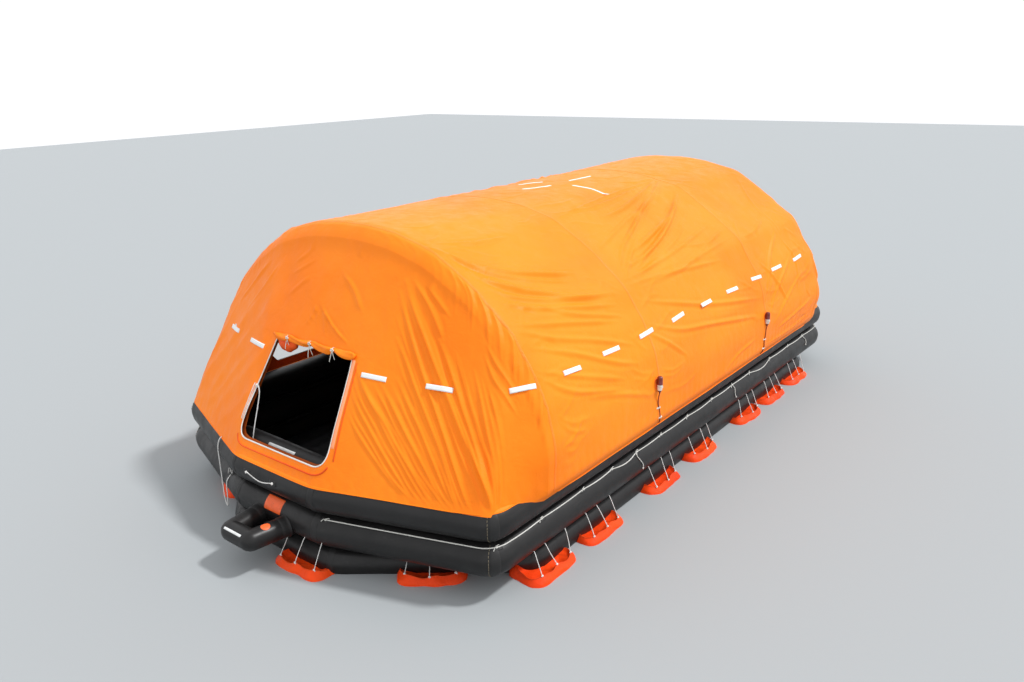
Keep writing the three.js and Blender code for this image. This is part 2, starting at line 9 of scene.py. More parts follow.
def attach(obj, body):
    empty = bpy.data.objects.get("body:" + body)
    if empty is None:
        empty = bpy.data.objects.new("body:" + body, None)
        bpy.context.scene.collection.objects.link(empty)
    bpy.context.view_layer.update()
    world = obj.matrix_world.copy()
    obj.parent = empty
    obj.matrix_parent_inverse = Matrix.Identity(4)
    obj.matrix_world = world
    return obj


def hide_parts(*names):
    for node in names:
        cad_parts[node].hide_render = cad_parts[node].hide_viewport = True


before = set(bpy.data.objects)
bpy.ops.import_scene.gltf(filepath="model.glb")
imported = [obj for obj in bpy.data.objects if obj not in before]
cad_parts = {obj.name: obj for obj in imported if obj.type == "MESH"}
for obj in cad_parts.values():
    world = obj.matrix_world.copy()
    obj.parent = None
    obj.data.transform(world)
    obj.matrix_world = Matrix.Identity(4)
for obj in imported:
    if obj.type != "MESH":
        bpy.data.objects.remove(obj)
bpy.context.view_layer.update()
rng = np.random.default_rng(17)

WATERLINE, BORDER_Z = 0.375, 1.2916
GAP = 0.0003  # between pieces that touch
UP = np.array((0.0, 0.0, 1.0))

# Shapes: each is a tuple of points, faces and the UVs of the faces' corners.


def unit(v):
    v = np.asarray(v, float)
    return v / np.maximum(np.linalg.norm(v, axis=-1, keepdims=True), 1e-12)


def smoothstep(x):
    x = np.clip(x, 0, 1)
    return x * x * (3 - 2 * x)


HASH, HASH_MORE = np.array((374761393, 668265263, 1442695041)), 1274126177


def noise3(points, seed):
    """Smooth noise from -1 to 1 with cells of size 1."""
    cell = np.floor(points).astype(np.int64)
    f = smoothstep(points - cell)
    total = np.zeros(len(points))
    for corner in np.ndindex(2, 2, 2):
        h = (cell + corner) @ HASH + seed * HASH_MORE
        h = ((h ^ (h >> 13)) * HASH_MORE) & 0x7FFFFFFF
        h = h ^ (h >> 16)
        total += np.where(corner, f, 1 - f).prod(axis=1) * ((h & 0xFFFF) / 32767.5 - 1)
    return total


def curve_through(points, spacing):
    """Points about this far apart on a smooth curve through the given ones."""
    p = np.asarray(points, float)
    p = np.vstack([2 * p[0] - p[1], p, 2 * p[-1] - p[-2]])
    made = []
    for i in range(1, len(p) - 2):
        a, b, c, d = p[i - 1:i + 3]
        far = [np.linalg.norm(end - start) for start, end in ((a, b), (b, c), (c, d))]
        t1, t2, t3 = np.cumsum([max(step ** 0.5, 1e-4) for step in far])
        t = np.linspace(t1, t2, max(1, math.ceil(far[1] / spacing)), endpoint=False)[:, None]

        def share(start, end, low, high):
            return (high - t) / (high - low) * start + (t - low) / (high - low) * end

        middle = share(b, c, t1, t2)
        made.append(share(share(share(a, b, 0, t1), middle, 0, t2),
                          share(middle, share(c, d, t2, t3), t1, t3), t1, t2))
    return np.vstack(made + [p[-2:-1]])


def run_along(path):
    """Metres from a path's start to each of its points."""
    return np.concatenate([[0], np.linalg.norm(np.diff(path, axis=0), axis=1).cumsum()])


def evenly(line, count):
    """This many evenly spaced points from a line's start to just before its end."""
    run = run_along(line)
    at = np.linspace(0, run[-1], count, endpoint=False)
    return np.stack([np.interp(at, run, line[:, k]) for k in (0, 1)], 1)


def filled(line, spacing):
    """A line with more points, so that none are further apart than this."""
    made = [line[0]]
    for p, q in zip(line[:-1], line[1:]):
        count = max(1, math.ceil(np.linalg.norm(q - p) / spacing))
        made += [p + (q - p) * k / count for k in range(1, count + 1)]
    return np.array(made)


def bend(a, b, c, steps):
    """A curve from a to c that leaves and arrives on the lines to b."""
    t = np.linspace(0, 1, steps)[:, None]
    return (1 - t) ** 2 * np.array(a) + 2 * t * (1 - t) * np.array(b) + t ** 2 * np.array(c)


def rounded(corners, reach, spacing, closed=False, steps=7):
    """A line round corners that are bent from this far before each to this far after it."""
    corners = np.asarray(corners, float)
    made = []
    for i, corner in enumerate(corners):
        if not closed and i in (0, len(corners) - 1):
            made.append(corners[i:i + 1])
            continue
        a, b = (corner + (other - corner) * reach / np.linalg.norm(other - corner)
                for other in (corners[i - 1], corners[(i + 1) % len(corners)]))
        made.append(bend(a, corner, b, steps))
    line = np.vstack(made)
    return filled(np.vstack([line, line[:1]]), spacing)[:-1] if closed else filled(line, spacing)


def closest_on(points, line):
    """Each point's distance to a line, how many of the line's steps lie before that spot, and the spot."""
    best, where, spot = np.full(len(points), np.inf), np.zeros(len(points)), np.array(points)
    for k, (a, b) in enumerate(zip(line[:-1], line[1:])):
        t = np.clip((points - a) @ (b - a) / max((b - a) @ (b - a), 1e-12), 0, 1)
        on = a + t[:, None] * (b - a)
        far = np.linalg.norm(points - on, axis=1)
        closer = far < best
        best[closer], where[closer], spot[closer] = far[closer], k + t[closer], on[closer]
    return best, where, spot


def grid(points, wrap_rows=False, wrap_columns=False, uv=None):
    """A grid of points, faces turned to rows x columns; its UVs are metres along its middle row and
    column, or the two given lists."""
    rows, columns = points.shape[:2]
    if uv is None:
        uv = run_along(points[rows // 2]), run_along(points[:, columns // 2])
    counts = (rows if wrap_rows else rows - 1, columns if wrap_columns else columns - 1)
    i, j = np.indices(counts).reshape(2, -1)
    i1, j1 = (i + 1) % rows, (j + 1) % columns
    faces = np.stack([i * columns + j, i1 * columns + j, i1 * columns + j1, i * columns + j1], 1)
    corners = [np.stack([uv[0][a], uv[1][b]], 1) for a, b in ((j, i), (j, i + 1), (j + 1, i + 1), (j + 1, i))]
    return points.reshape(-1, 3), faces.tolist(), np.stack(corners, 1).reshape(-1, 2)


def merge(*parts):
    points, faces, corners, base = [], [], [], 0
    for p, f, c in parts:
        points.append(p)
        faces += [[k + base for k in face] for face in f]
        corners.append(c)
        base += len(p)
    return np.vstack(points), faces, np.vstack(corners)


CAP_TIP, CAP_EDGE, CAP_WIDTH = 0.5, 0.36, 0.7


def sweep(path, radius, sides, closed=False, up=None, squash=1.0, cap=True):
    """A tube along a path; its UVs are the share round it and metres along it."""
    path = np.asarray(path, float)
    n = len(path)
    if closed:
        tangent = unit(np.roll(path, -1, 0) - np.roll(path, 1, 0))
    else:
        tangent = unit(np.gradient(path, axis=0))
    if up is not None:
        side = unit(np.cross(tangent, up))
    else:
        side = [unit(np.cross(tangent[0], (0, 0, 1) if abs(tangent[0][2]) < 0.9 else (1, 0, 0)))]
        for ahead in tangent[1:]:
            side.append(unit(side[-1] - np.dot(side[-1], ahead) * ahead))
        side = np.array(side)
    over = np.cross(side, tangent)
    radius = np.broadcast_to(np.asarray(radius, float), (n,))
    a = (2 * np.pi * np.arange(sides) / sides)[None, :, None]
    ring = np.cos(a) * side[:, None] + squash * np.sin(a) * over[:, None]
    along = run_along(np.vstack([path, path[:1]]) if closed else path)
    p, f, c = grid(path[:, None] + radius[:, None, None] * ring, wrap_rows=closed, wrap_columns=True,
                   uv=(np.arange(sides + 1) / sides, along))
    if closed or not cap:
        return p, f, c
    for row, sign in ((0, -1), (n - 1, 1)):
        edge, tip = (path[row] + sign * tangent[row] * radius[row] * far for far in (CAP_EDGE, CAP_TIP))
        base = len(p)
        p = np.vstack([p, edge + CAP_WIDTH * radius[row] * ring[row], tip])
        for k in range(sides):
            k1 = (k + 1) % sides
            for face in ([row * sides + k, row * sides + k1, base + k1, base + k],
                         [base + k, base + k1, base + sides]):
                f.append(face if sign < 0 else face[::-1])
        c = np.vstack([c, np.full((7 * sides, 2), along[row])])
    return p, f, c


def tube(path, radius, sides, rise=0.0, **options):
    """A tube with UVs in metres; rise widens it and leaves its UVs."""
    points, faces, corners = sweep(path, radius + rise, sides, **options)
    return points, faces, corners * (2 * math.pi * radius, 1)


def tree_of(parts):
    return BVHTree.FromPolygons([Vector(p) for p in parts[0]], parts[1])


def nearest(tree, point):
    spot, normal, _, _ = tree.find_nearest(Vector(point))
    return np.array(spot), np.array(normal)


def nearest_all(tree, points):
    spots, normals = zip(*[nearest(tree, p) for p in points])
    return np.array(spots), np.array(normals)


def piece(name, parts, material, replaces=()):
    points, faces, corners = parts
    mesh = bpy.data.meshes.new(name)
    mesh.from_pydata(np.asarray(points).tolist(), [], faces)
    layer = mesh.uv_layers.new(name="UVMap")
    layer.data.foreach_set("uv", np.ascontiguousarray(corners, np.float32).ravel())
    mesh.polygons.foreach_set("use_smooth", [True] * len(mesh.polygons))
    mesh.materials.append(material)
    mesh.validate()
    made = bpy.data.objects.new(name, mesh)
    bpy.context.scene.collection.objects.link(made)
    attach(made, "root")
    if replaces:
        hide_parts(*replaces)
    return made


# Materials


def add_node(tree, kind, inputs=(), **settings):
    node = tree.nodes.new(kind)
    for key, value in settings.items():
        setattr(node, key, value)
    for key, value in dict(inputs).items():
        if isinstance(value, bpy.types.NodeSocket):
            tree.links.new(value, node.inputs[key])
        else:
            node.inputs[key].default_value = value
    return node


def start_material(name, roughness, **shader_inputs):
    material = bpy.data.materials.new(name)
    material.use_nodes = True
    shader = material.node_tree.nodes["Principled BSDF"]
    for key, value in {"Roughness": roughness, **shader_inputs}.items():
        shader.inputs[key.replace("_", " ")].default_value = value
    return material, material.node_tree


def texture_space(tree, space, scale=(1, 1, 1)):
    source = add_node(tree, "ShaderNodeTexCoord").outputs[space]
    return add_node(tree, "ShaderNodeMapping", {"Vector": source, "Scale": scale}).outputs[0]


def noise(tree, scale, detail, rough=0.55, stretch=(1, 1, 1), distortion=0.0):
    inputs = {"Vector": texture_space(tree, "Object", stretch), "Scale": scale, "Detail": detail,
              "Roughness": rough, "Distortion": distortion}
    return add_node(tree, "ShaderNodeTexNoise", inputs).outputs[0]


def cell_edges(tree, space, scale, randomness):
    inputs = {"Vector": texture_space(tree, space), "Scale": scale, "Randomness": randomness}
    return add_node(tree, "ShaderNodeTexVoronoi", inputs, feature="DISTANCE_TO_EDGE").outputs[0]


def colour_ramp(tree, value, *stops):
    made = add_node(tree, "ShaderNodeValToRGB", {"Fac": value})
    elements = made.color_ramp.elements
    while len(elements) < len(stops):
        elements.new(0.5)
    for element, (at, colour) in zip(elements, stops):
        element.position, element.color = at, (*colour, 1)
    return made.outputs[0]


def level(tree, value, low, high, to_low=0.0, to_high=1.0):
    inputs = {"Value": value, "From Min": low, "From Max": high, "To Min": to_low, "To Max": to_high}
    return add_node(tree, "ShaderNodeMapRange", inputs).outputs[0]


def patchy(tree, noise_inputs, *levels):
    return level(tree, noise(tree, *noise_inputs), *levels)


def math_node(tree, operation, a, b=0.0):
    return add_node(tree, "ShaderNodeMath", {0: a, 1: b}, operation=operation).outputs[0]


def mix(tree, factor, a, b):
    a, b = ((*colour, 1) if isinstance(colour, tuple) else colour for colour in (a, b))
    return add_node(tree, "ShaderNodeMix", {0: factor, 6: a, 7: b}, data_type="RGBA").outputs[2]


def dress(material, colour, roughness, *bumps):
    """Links a colour, a roughness or None, and bumps: each a height, its strength and its size in metres."""
    tree = material.node_tree
    shader, normal = tree.nodes["Principled BSDF"], None
    for height, strength, distance in bumps:
        inputs = {"Height": height, "Strength": strength, "Distance": distance}
        if normal is not None:
            inputs["Normal"] = normal
        normal = add_node(tree, "ShaderNodeBump", inputs).outputs[0]
    for key, value in (("Base Color", colour), ("Roughness", roughness), ("Normal", normal)):
        if value is not None:
            tree.links.new(value, shader.inputs[key])
    return material


def weave(tree, pitch):
    """Warp and weft over the UVs, which are in metres."""
    inputs = {"Scale": 0.3142 / pitch, "Distortion": 0.6, "Detail": 1.0, "Detail Scale": 2.0}
    waves = [add_node(tree, "ShaderNodeTexWave", {"Vector": texture_space(tree, "UV"), **inputs},
                      wave_type="BANDS", bands_direction=direction).outputs[1] for direction in ("X", "Y")]
    return math_node(tree, "MULTIPLY", *waves)


def coated_fabric(name, deep, mid, light, roughness=0.42, crease=0.5):
    material, tree = start_material(name, roughness, Specular_IOR_Level=0.14)
    colour = colour_ramp(tree, noise(tree, 0.7, 4, 0.5), (0.3, deep), (0.48, mid), (0.72, light))
    colour = mix(tree, patchy(tree, (16, 4, 0.6), 0.4, 0.8, 0.0, 0.16), colour, deep)
    stain = patchy(tree, (5, 6, 0.65, (1.6, 1.6, 0.25), 0.8), 0.64, 0.82, 0.0, 0.10)
    colour = mix(tree, stain, colour, (deep[0] * 0.55, deep[1] * 0.55, deep[2] * 0.8 + 0.004))
    return dress(material, colour, patchy(tree, (6, 5, 0.6), 0.3, 0.7, roughness - 0.07, roughness + 0.14),
                 (weave(tree, 0.004), 0.22, 0.0006),
                 (level(tree, cell_edges(tree, "Object", 3.2, 1.0), 0.0, 0.10), 0.10 * crease, 0.01),
                 (noise(tree, 7.5, 6, 0.62, distortion=1.6), 0.42 * crease, 0.022),
                 (noise(tree, 26, 5, 0.6, distortion=2.2), 0.5 * crease, 0.007))


def rubber(name, base, dust, roughness, specular, dusty):
    material, tree = start_material(name, roughness, Specular_IOR_Level=specular)
    colour = colour_ramp(tree, noise(tree, 2.2, 6, 0.62), (0.3, tuple(0.7 * x for x in base)),
                         (0.7, tuple(1.4 * x for x in base)))
    scuffs = patchy(tree, (9, 8, 0.72, (0.35, 1, 2.2), 1.2), 0.56, 0.78, 0.0, dusty)
    salt = math_node(tree, "MULTIPLY", scuffs, patchy(tree, (0.8, 3), 0.4, 0.62, 0.15, 1.0))
    return dress(material, mix(tree, salt, colour, dust),
                 patchy(tree, (4.5, 6, 0.65), 0.3, 0.72, roughness - 0.1, roughness + 0.16),
                 (weave(tree, 0.003), 0.12, 0.0004), (noise(tree, 60, 3), 0.12, 0.0012),
                 (noise(tree, 3.0, 3, 0.5), 0.25, 0.02))


def braided(name, colour, dirt_and_valley_shade, pitch):
    """A braid whose strands cross; the UVs are the share round it and metres along it."""
    material, tree = start_material(name, 0.78, Specular_IOR_Level=0.25, Sheen_Weight=0.2,
                                    Sheen_Roughness=0.5)
    u, v = (add_node(tree, "ShaderNodeSeparateXYZ", {"Vector": texture_space(tree, "UV")}).outputs[i]
            for i in (0, 1))
    strands = []
    for turn in (12.566, -12.566):
        phase = math_node(tree, "ADD", math_node(tree, "MULTIPLY", u, turn),
                          math_node(tree, "MULTIPLY", v, 6.283 / pitch))
        strands.append(math_node(tree, "ABSOLUTE", math_node(tree, "SINE", phase)))
    height = math_node(tree, "MULTIPLY", *strands)
    # Painted shade: the valleys between the strands are darkened towards the dark colour; the patches added
    # next are real dirt.
    shade = mix(tree, level(tree, height, 0.0, 0.35, 0.55, 0.0), colour, dirt_and_valley_shade)
    return dress(material, mix(tree, patchy(tree, (6, 5, 0.65), 0.45, 0.75, 0.0, 0.45), shade, dirt_and_valley_shade), None,
                 (height, 0.8, 0.002), (noise(tree, 300, 2), 0.2, 0.0005))


def strap_cloth(name, colour, dirt_and_valley_shade, pitch=0.0025):
    material, tree = start_material(name, 0.75, Specular_IOR_Level=0.3, Sheen_Weight=0.15,
                                    Sheen_Roughness=0.5)
    ribs = weave(tree, pitch)
    # Painted shade: the valleys of the weave are darkened towards the dark colour; the patches added next are
    # real dirt.
    shade = mix(tree, level(tree, ribs, 0.0, 0.4, 0.35, 0.0), colour, dirt_and_valley_shade)
    return dress(material, mix(tree, patchy(tree, (9, 6, 0.65), 0.45, 0.8, 0.0, 0.5), shade, dirt_and_valley_shade), None,
                 (ribs, 0.6, 0.0012), (noise(tree, 40, 3), 0.2, 0.003))


def reflective(name):
    material, tree = start_material(name, 0.32, Specular_IOR_Level=0.6)
    lines = level(tree, cell_edges(tree, "UV", 170.0, 0.15), 0.0, 0.09, 1.0, 0.0)
    colour = mix(tree, math_node(tree, "MULTIPLY", lines, 0.5), (0.86, 0.87, 0.86), (0.5, 0.52, 0.53))
    wear = patchy(tree, (16, 6, 0.7), 0.52, 0.75, 0.0, 0.4)
    return dress(material, mix(tree, wear, colour, (0.62, 0.5, 0.4)), None, (lines, 0.25, 0.0004),
                 (noise(tree, 12, 4), 0.3, 0.004))


def moulded(name, colour, roughness, **inputs):
    material, tree = start_material(name, roughness, **inputs)
    dark = tuple(0.5 * c for c in colour)
    return dress(material, mix(tree, patchy(tree, (18, 5, 0.6), 0.4, 0.8, 0.0, 0.4), colour, dark),
                 patchy(tree, (35, 5, 0.65), 0.3, 0.75, roughness - 0.08, roughness + 0.15),
                 (noise(tree, 220, 3), 0.12, 0.0006))


CANOPY = coated_fabric("canopy_fabric", (0.97, 0.205, 0.007), (1.0, 0.238, 0.010), (1.0, 0.262, 0.013))
CANOPY_TRIM = coated_fabric("canopy_trim", (0.72, 0.075, 0.01), (0.85, 0.11, 0.014), (0.93, 0.15, 0.02), 0.5)
SEAM_TAPE = coated_fabric("seam_tape", (0.96, 0.20, 0.014), (1.0, 0.235, 0.022), (1.0, 0.27, 0.035), 0.4, 0.3)
FACING = coated_fabric("door_facing", (0.92, 0.30, 0.13), (0.98, 0.38, 0.19), (1.0, 0.42, 0.22), 0.4, 0.3)
# The liner's colour is a much darker orange than its real faded orange: painted shade for the dim inside of
# the canopy.
LINER_DARKENED_AS_SHADE = coated_fabric("canopy_liner_painted_shade", (0.30, 0.06, 0.008), (0.42, 0.085, 0.012), (0.5, 0.11, 0.016), 0.6)
POCKET = coated_fabric("pocket_fabric", (0.74, 0.042, 0.005), (0.90, 0.064, 0.007), (0.97, 0.095, 0.010),
                       0.4, 0.9)
POCKET_HEM = coated_fabric("pocket_hem", (0.6, 0.04, 0.008), (0.75, 0.07, 0.012), (0.85, 0.1, 0.016),
                           0.5, 0.4)
RUBBER = rubber("tube_rubber", (0.0105, 0.0100, 0.0100), (0.12, 0.115, 0.11), 0.40, 0.34, 0.20)
PATCH = rubber("rubber_patch", (0.014, 0.0135, 0.0135), (0.15, 0.145, 0.14), 0.46, 0.34, 0.3)
ARCH_RUBBER = rubber("arch_rubber", (0.016, 0.0165, 0.019), (0.12, 0.12, 0.13), 0.42, 0.45, 0.2)
FLOOR_CLOTH = rubber("floor_fabric", (0.032, 0.033, 0.036), (0.17, 0.17, 0.17), 0.55, 0.4, 0.4)
GLUE = moulded("glue_stitch", (0.19, 0.155, 0.10), 0.6)
ROPE = braided("rope", (0.80, 0.79, 0.75), (0.36, 0.34, 0.28), 0.014)
THIN_ROPE = braided("thin_rope", (0.93, 0.92, 0.90), (0.62, 0.59, 0.52), 0.010)
WEBBING = strap_cloth("webbing", (0.80, 0.78, 0.72), (0.40, 0.36, 0.28))
BINDING = strap_cloth("white_binding", (0.84, 0.83, 0.80), (0.5, 0.45, 0.38), 0.002)
STITCH = strap_cloth("stitching", (0.85, 0.42, 0.14), (0.5, 0.15, 0.03), 0.001)
TAPE = reflective("reflective_tape")
ORANGE_PATCH = moulded("orange_patch", (0.95, 0.13, 0.02), 0.42)
PALE_PATCH = moulded("pale_patch", (0.78, 0.79, 0.78), 0.5)
LAMP_RED = moulded("lamp_red", (0.16, 0.012, 0.012), 0.3, Coat_Weight=0.3, Coat_Roughness=0.2)
LAMP_WHITE = moulded("lamp_white", (0.8, 0.79, 0.74), 0.4)
LEAD = moulded("lamp_lead", (0.2, 0.012, 0.01), 0.45)
PAINT = moulded("cylinder_paint", (0.33, 0.36, 0.38), 0.34, Coat_Weight=0.4, Coat_Roughness=0.15)
BRASS = moulded("valve_brass", (0.62, 0.42, 0.16), 0.3, Metallic=1.0)

# Camera, light and floor

CAMERA = {"at": (-9.203, -6.731, 5.142), "yaw": 0.6786, "down": 0.31907, "roll": -0.025}
SENSOR, LENS, FAR_CLIP, STAGE_HALF = 36, 36 * 830 / 1024, 200, 60


def add_camera():
    yaw, down, roll = CAMERA["yaw"], CAMERA["down"], CAMERA["roll"]
    ahead = Vector((math.cos(down) * math.cos(yaw), math.cos(down) * math.sin(yaw), -math.sin(down)))
    level_right = Vector((math.sin(yaw), -math.cos(yaw), 0))
    above = level_right.cross(ahead)
    right = math.cos(roll) * level_right + math.sin(roll) * above
    up = -math.sin(roll) * level_right + math.cos(roll) * above
    camera = bpy.data.objects.new("camera", bpy.data.cameras.new("camera"))
    camera.data.sensor_width, camera.data.lens, camera.data.clip_end = SENSOR, LENS, FAR_CLIP
    camera.matrix_world = Matrix.Translation(CAMERA["at"]) @ Matrix((right, up, -ahead)).transposed().to_4x4()
    bpy.context.scene.collection.objects.link(camera)
    bpy.context.scene.camera = camera


def add_stage():
    scene = bpy.context.scene
    scene.view_settings.view_transform = "Standard"
    scene.world = bpy.data.worlds.new("studio")
    scene.world.use_nodes = True
    background = scene.world.node_tree.nodes["Background"]
    background.inputs["Color"].default_value = (0.97, 0.98, 1.0, 1)
    background.inputs["Strength"].default_value = 1.08
    sun = bpy.data.objects.new("key", bpy.data.lights.new("key", "SUN"))
    sun.data.energy, sun.data.angle = 2.6, math.radians(6)
    sun.rotation_mode = "QUATERNION"
    sun.rotation_quaternion = Vector((0.345, -0.46, 0.82)).to_track_quat("Z", "Y")
    mesh = bpy.data.meshes.new("studio_floor")
    corners = [(x * STAGE_HALF, y * STAGE_HALF, WATERLINE) for x, y in ((-1, -1), (1, -1), (1, 1), (-1, 1))]
    mesh.from_pydata(corners, [], [(0, 1, 2, 3)])
    mesh.materials.append(start_material("studio_floor", 0.9, Base_Color=(0.33, 0.35, 0.36, 1))[0])
    floor = bpy.data.objects.new("studio_floor", mesh)
    for made in (sun, floor):
        scene.collection.objects.link(made)


add_camera()
add_stage()

# Cords: the corner line's points are given as y, metres out from the end's slanted edge, and z.

CORNER_LINE = [
    (1.085, 0.134, 1.304), (1.085, 0.149, 1.298), (1.086, 0.168, 1.271), (1.087, 0.185, 1.220),
    (1.088, 0.192, 1.160), (1.088, 0.193, 1.060), (1.088, 0.194, 0.950), (1.087, 0.195, 0.840),
    (1.085, 0.196, 0.730), (1.080, 0.197, 0.640), (1.070, 0.197, 0.570), (1.048, 0.198, 0.525),
    (1.015, 0.198, 0.507), (0.980, 0.198, 0.520), (0.955, 0.197, 0.565), (0.938, 0.197, 0.630),
    (0.926, 0.196, 0.710), (0.916, 0.194, 0.790), (0.908, 0.183, 0.858), (0.902, 0.150, 0.903),
    (0.900, 0.108, 0.937),
]
DOOR_LINE = [(-4.422, 0.6593, 1.949), (-4.426, 0.636, 1.941), (-4.444, 0.606, 1.895), (-4.482, 0.596, 1.780),
             (-4.566, 0.582, 1.560), (-4.642, 0.570, 1.340)]
GRAB_LINE = [(-4.8716, 0.370, 1.1885), (-4.8716, 0.150, 1.1435), (-4.8716, -0.070, 1.1885)]
LINE_R = 0.006


def corner_point(y, out, z):
    run, rise = 0.566, 1.715
    length = math.hypot(run, rise)
    return (-4.682 + (y - 0.610) * run / rise - out * rise / length, y + out * run / length, z)


CORNER_LINE = [corner_point(*p) for p in CORNER_LINE]
for cord_name, node, points in (("corner_cord", "corner_line", CORNER_LINE),
                                ("door_cord", "door_line", DOOR_LINE), ("grab_cord", "grab_line", GRAB_LINE)):
    path = curve_through(points, 0.012)
    piece(cord_name, sweep(path, LINE_R, 12), THIN_ROPE, [node])
    float(run_along(path)[-1])

# Canopy surface: u runs from the near border (0) over the arches to the far one (9), v round the raft
# from the right border (0) over the ridge (9) to the left one (18).

# y and z above the border of the canopy over an arch, from its border up to the ridge.
PROFILE = [(2.509, -0.100), (2.570, 0.0), (2.570, 0.462), (2.493, 0.808), (2.320, 1.155),
           (2.069, 1.490), (1.627, 1.867), (1.126, 2.150), (0.664, 2.285), (0.0, 2.350)]
ARCH_X = [-3.360, -1.430, 1.600, 3.400]
CREST_REACH, FOLD_REACH, FOLD_RISE = 0.075, 0.182, 0.95
END_BORDER, CORNER_BORDER = (4.812, 0.645), (4.235, 2.397)
SHOULDER, ROOF_EDGE, RIDGE = 5, 7, 9
LAST_ROW, LAST_COLUMN = 9, 18
WALL, ARCH_R = 0.027, 0.125
END_DOOR = {"bottom": 0.173, "top": 1.155, "half_bottom": 0.720, "half_top": 0.600, "round": 0.190}
SIDE_DOOR = {"bottom": 0.090, "top": 1.100, "half_bottom": 0.520, "half_top": 0.430, "round": 0.160}
SIDE_DOOR_X = -2.450


def station(x, rise, inset=0.0):
    half = [(y, z * rise if z > 0 else z) for y, z in PROFILE]
    line = np.array([(-y, z) for y, z in half] + half[-2::-1])
    padded = np.vstack([line[:1], line, line[-1:]])
    along = unit(padded[2:] - padded[:-2])
    y, z = line[:, 0] + inset * along[:, 1], line[:, 1] - inset * along[:, 0]
    return np.stack([np.full(len(y), x), y, z + BORDER_Z], 1)


def end_border(end, fold_x):
    marks = [(0, fold_x, 2.509, -0.1), (SHOULDER, end * CORNER_BORDER[0], CORNER_BORDER[1], 0.0),
             (ROOF_EDGE, end * END_BORDER[0], END_BORDER[1], 0.0), (RIDGE, end * END_BORDER[0], 0.0, 0.0)]
    at, xs, ys, zs = zip(*marks)
    i = np.arange(len(PROFILE))
    half = np.stack([np.interp(i, at, xs), -np.interp(i, at, ys), np.interp(i, at, zs) + BORDER_Z], 1)
    return np.vstack([half, half[-2::-1] * (1, -1, 1)])


def control_points():
    near, far = ARCH_X[0], ARCH_X[-1]
    return np.array([end_border(-1, near - FOLD_REACH), station(near - FOLD_REACH, FOLD_RISE),
                     station(near - CREST_REACH, 1.0), *(station(x, 1.0) for x in ARCH_X),
                     station(far + CREST_REACH, 1.0), station(far + FOLD_REACH, FOLD_RISE),
                     end_border(1, far + FOLD_REACH)])


CONTROL = control_points()
# How far each control point's bend reaches, as a share of the way to the one before and after.
ROW_BENDS = {1: (0.05, 0.35), 2: (0.35, 0.5), 3: (0.1, 0.03), 4: (0.03, 0.03), 5: (0.03, 0.03),
             6: (0.03, 0.1), 7: (0.9, 0.5), 8: (0.5, 0.07)}
# The same up by the ridge, where the first arch's tube shows as a round edge.
TOP_BENDS = {**ROW_BENDS, 1: (0.03, 0.25), 2: (0.4, 0.7)}
COLUMN_BENDS = {1: (0.45, 0.12), **{i: (0.22, 0.22) for i in range(2, 17)}, 17: (0.12, 0.45),
                RIDGE: (0.5, 0.5)}


def weights(s, count, bends):
    """Weights of the control points for each parameter in s, along a line with rounded corners."""
    s = np.asarray(s, float)
    low = np.clip(np.floor(s).astype(int), 0, count - 2)
    w = np.zeros((len(s), count))
    rows = np.arange(len(s))
    w[rows, low], w[rows, low + 1] = 1 - (s - low), s - low
    for i, (before, after) in bends.items():
        inside = (s > i - before) & (s < i + after)
        t = (s[inside] - (i - before)) / (before + after)
        k = rows[inside]
        w[k] = 0
        w[k, i] = (1 - t) ** 2 * (1 - before) + 2 * t * (1 - t) + t ** 2 * (1 - after)
        w[k, i - 1] = (1 - t) ** 2 * before
        w[k, i + 1] = t ** 2 * after
    return w


def near_ridge(v):
    return smoothstep((4.2 - np.abs(np.asarray(v, float) - RIDGE)) / 2.2)[:, None]


def surface(sum_rule, u, v):
    sides, top = (np.einsum(sum_rule, weights(u, LAST_ROW + 1, bends), CONTROL,
                            weights(v, LAST_COLUMN + 1, COLUMN_BENDS)) for bends in (ROW_BENDS, TOP_BENDS))
    return sides + (top - sides) * near_ridge(v)


def canopy_points(uv):
    uv = np.asarray(uv, float)
    return surface("ni,ijk,nj->nk", uv[:, 0], uv[:, 1])


def folds_from(table):
    """Folds from lines that hold a half width and a height in millimetres and then (u, v) points."""
    rows = [[float(n) for n in line.split()] for line in table.strip().splitlines()]
    return [(list(zip(row[2::2], row[3::2])), row[0] / 1000, row[1] / 1000) for row in rows]


NEAR_FAN = folds_from("""
60 40  .9 7.27  .81 6.77  .72 6.36  .62 6.01  .52 5.71  .38 5.4  .23 5.14  .06 4.87
45 30  .85 7.29  .77 6.87  .67 6.49  .58 6.21  .48 5.94  .37 5.7  .24 5.48  .08 5.27
45 28  .68 6.88  .61 6.56  .52 6.27  .43 6.01  .31 5.73  .16 5.49  .03 5.34
40 22  .53 6.6  .44 6.28  .35 6.01  .24 5.76  .12 5.54  .04 5.41
40 24  .49 6.8  .4 6.44  .3 6.13  .2 5.85  .11 5.65
36 18  .45 6.97  .38 6.62  .3 6.31  .2 6.03  .11 5.78
42 24  .51 7.52  .44 6.99  .36 6.64  .26 6.32  .15 6  .08 5.83
36 18  .43 7.41  .36 6.92  .28 6.61  .18 6.28  .08 5.99
34 16  .34 7.15  .27 6.8  .19 6.49  .1 6.17
40 22  .92 7.1  .88 6.7  .83 6.39  .77 6.14
34 16  .94 6.88  .91 6.52  .88 6.19
50 34  .76 6.2  .7 5.97  .62 5.74  .52 5.52  .4 5.3  .23 5.08  .08 4.83
42 22  .73 5.48  .61 5.27  .48 5.12  .33 4.92  .18 4.61
36 16  .7 5.19  .6 5.01  .49 4.79  .37 4.48
32 14  .9 5.37  .85 5.1  .83 4.76  .83 4.14
32 14  .84 5.36  .76 5.1  .73 4.67  .72 4.1
""")
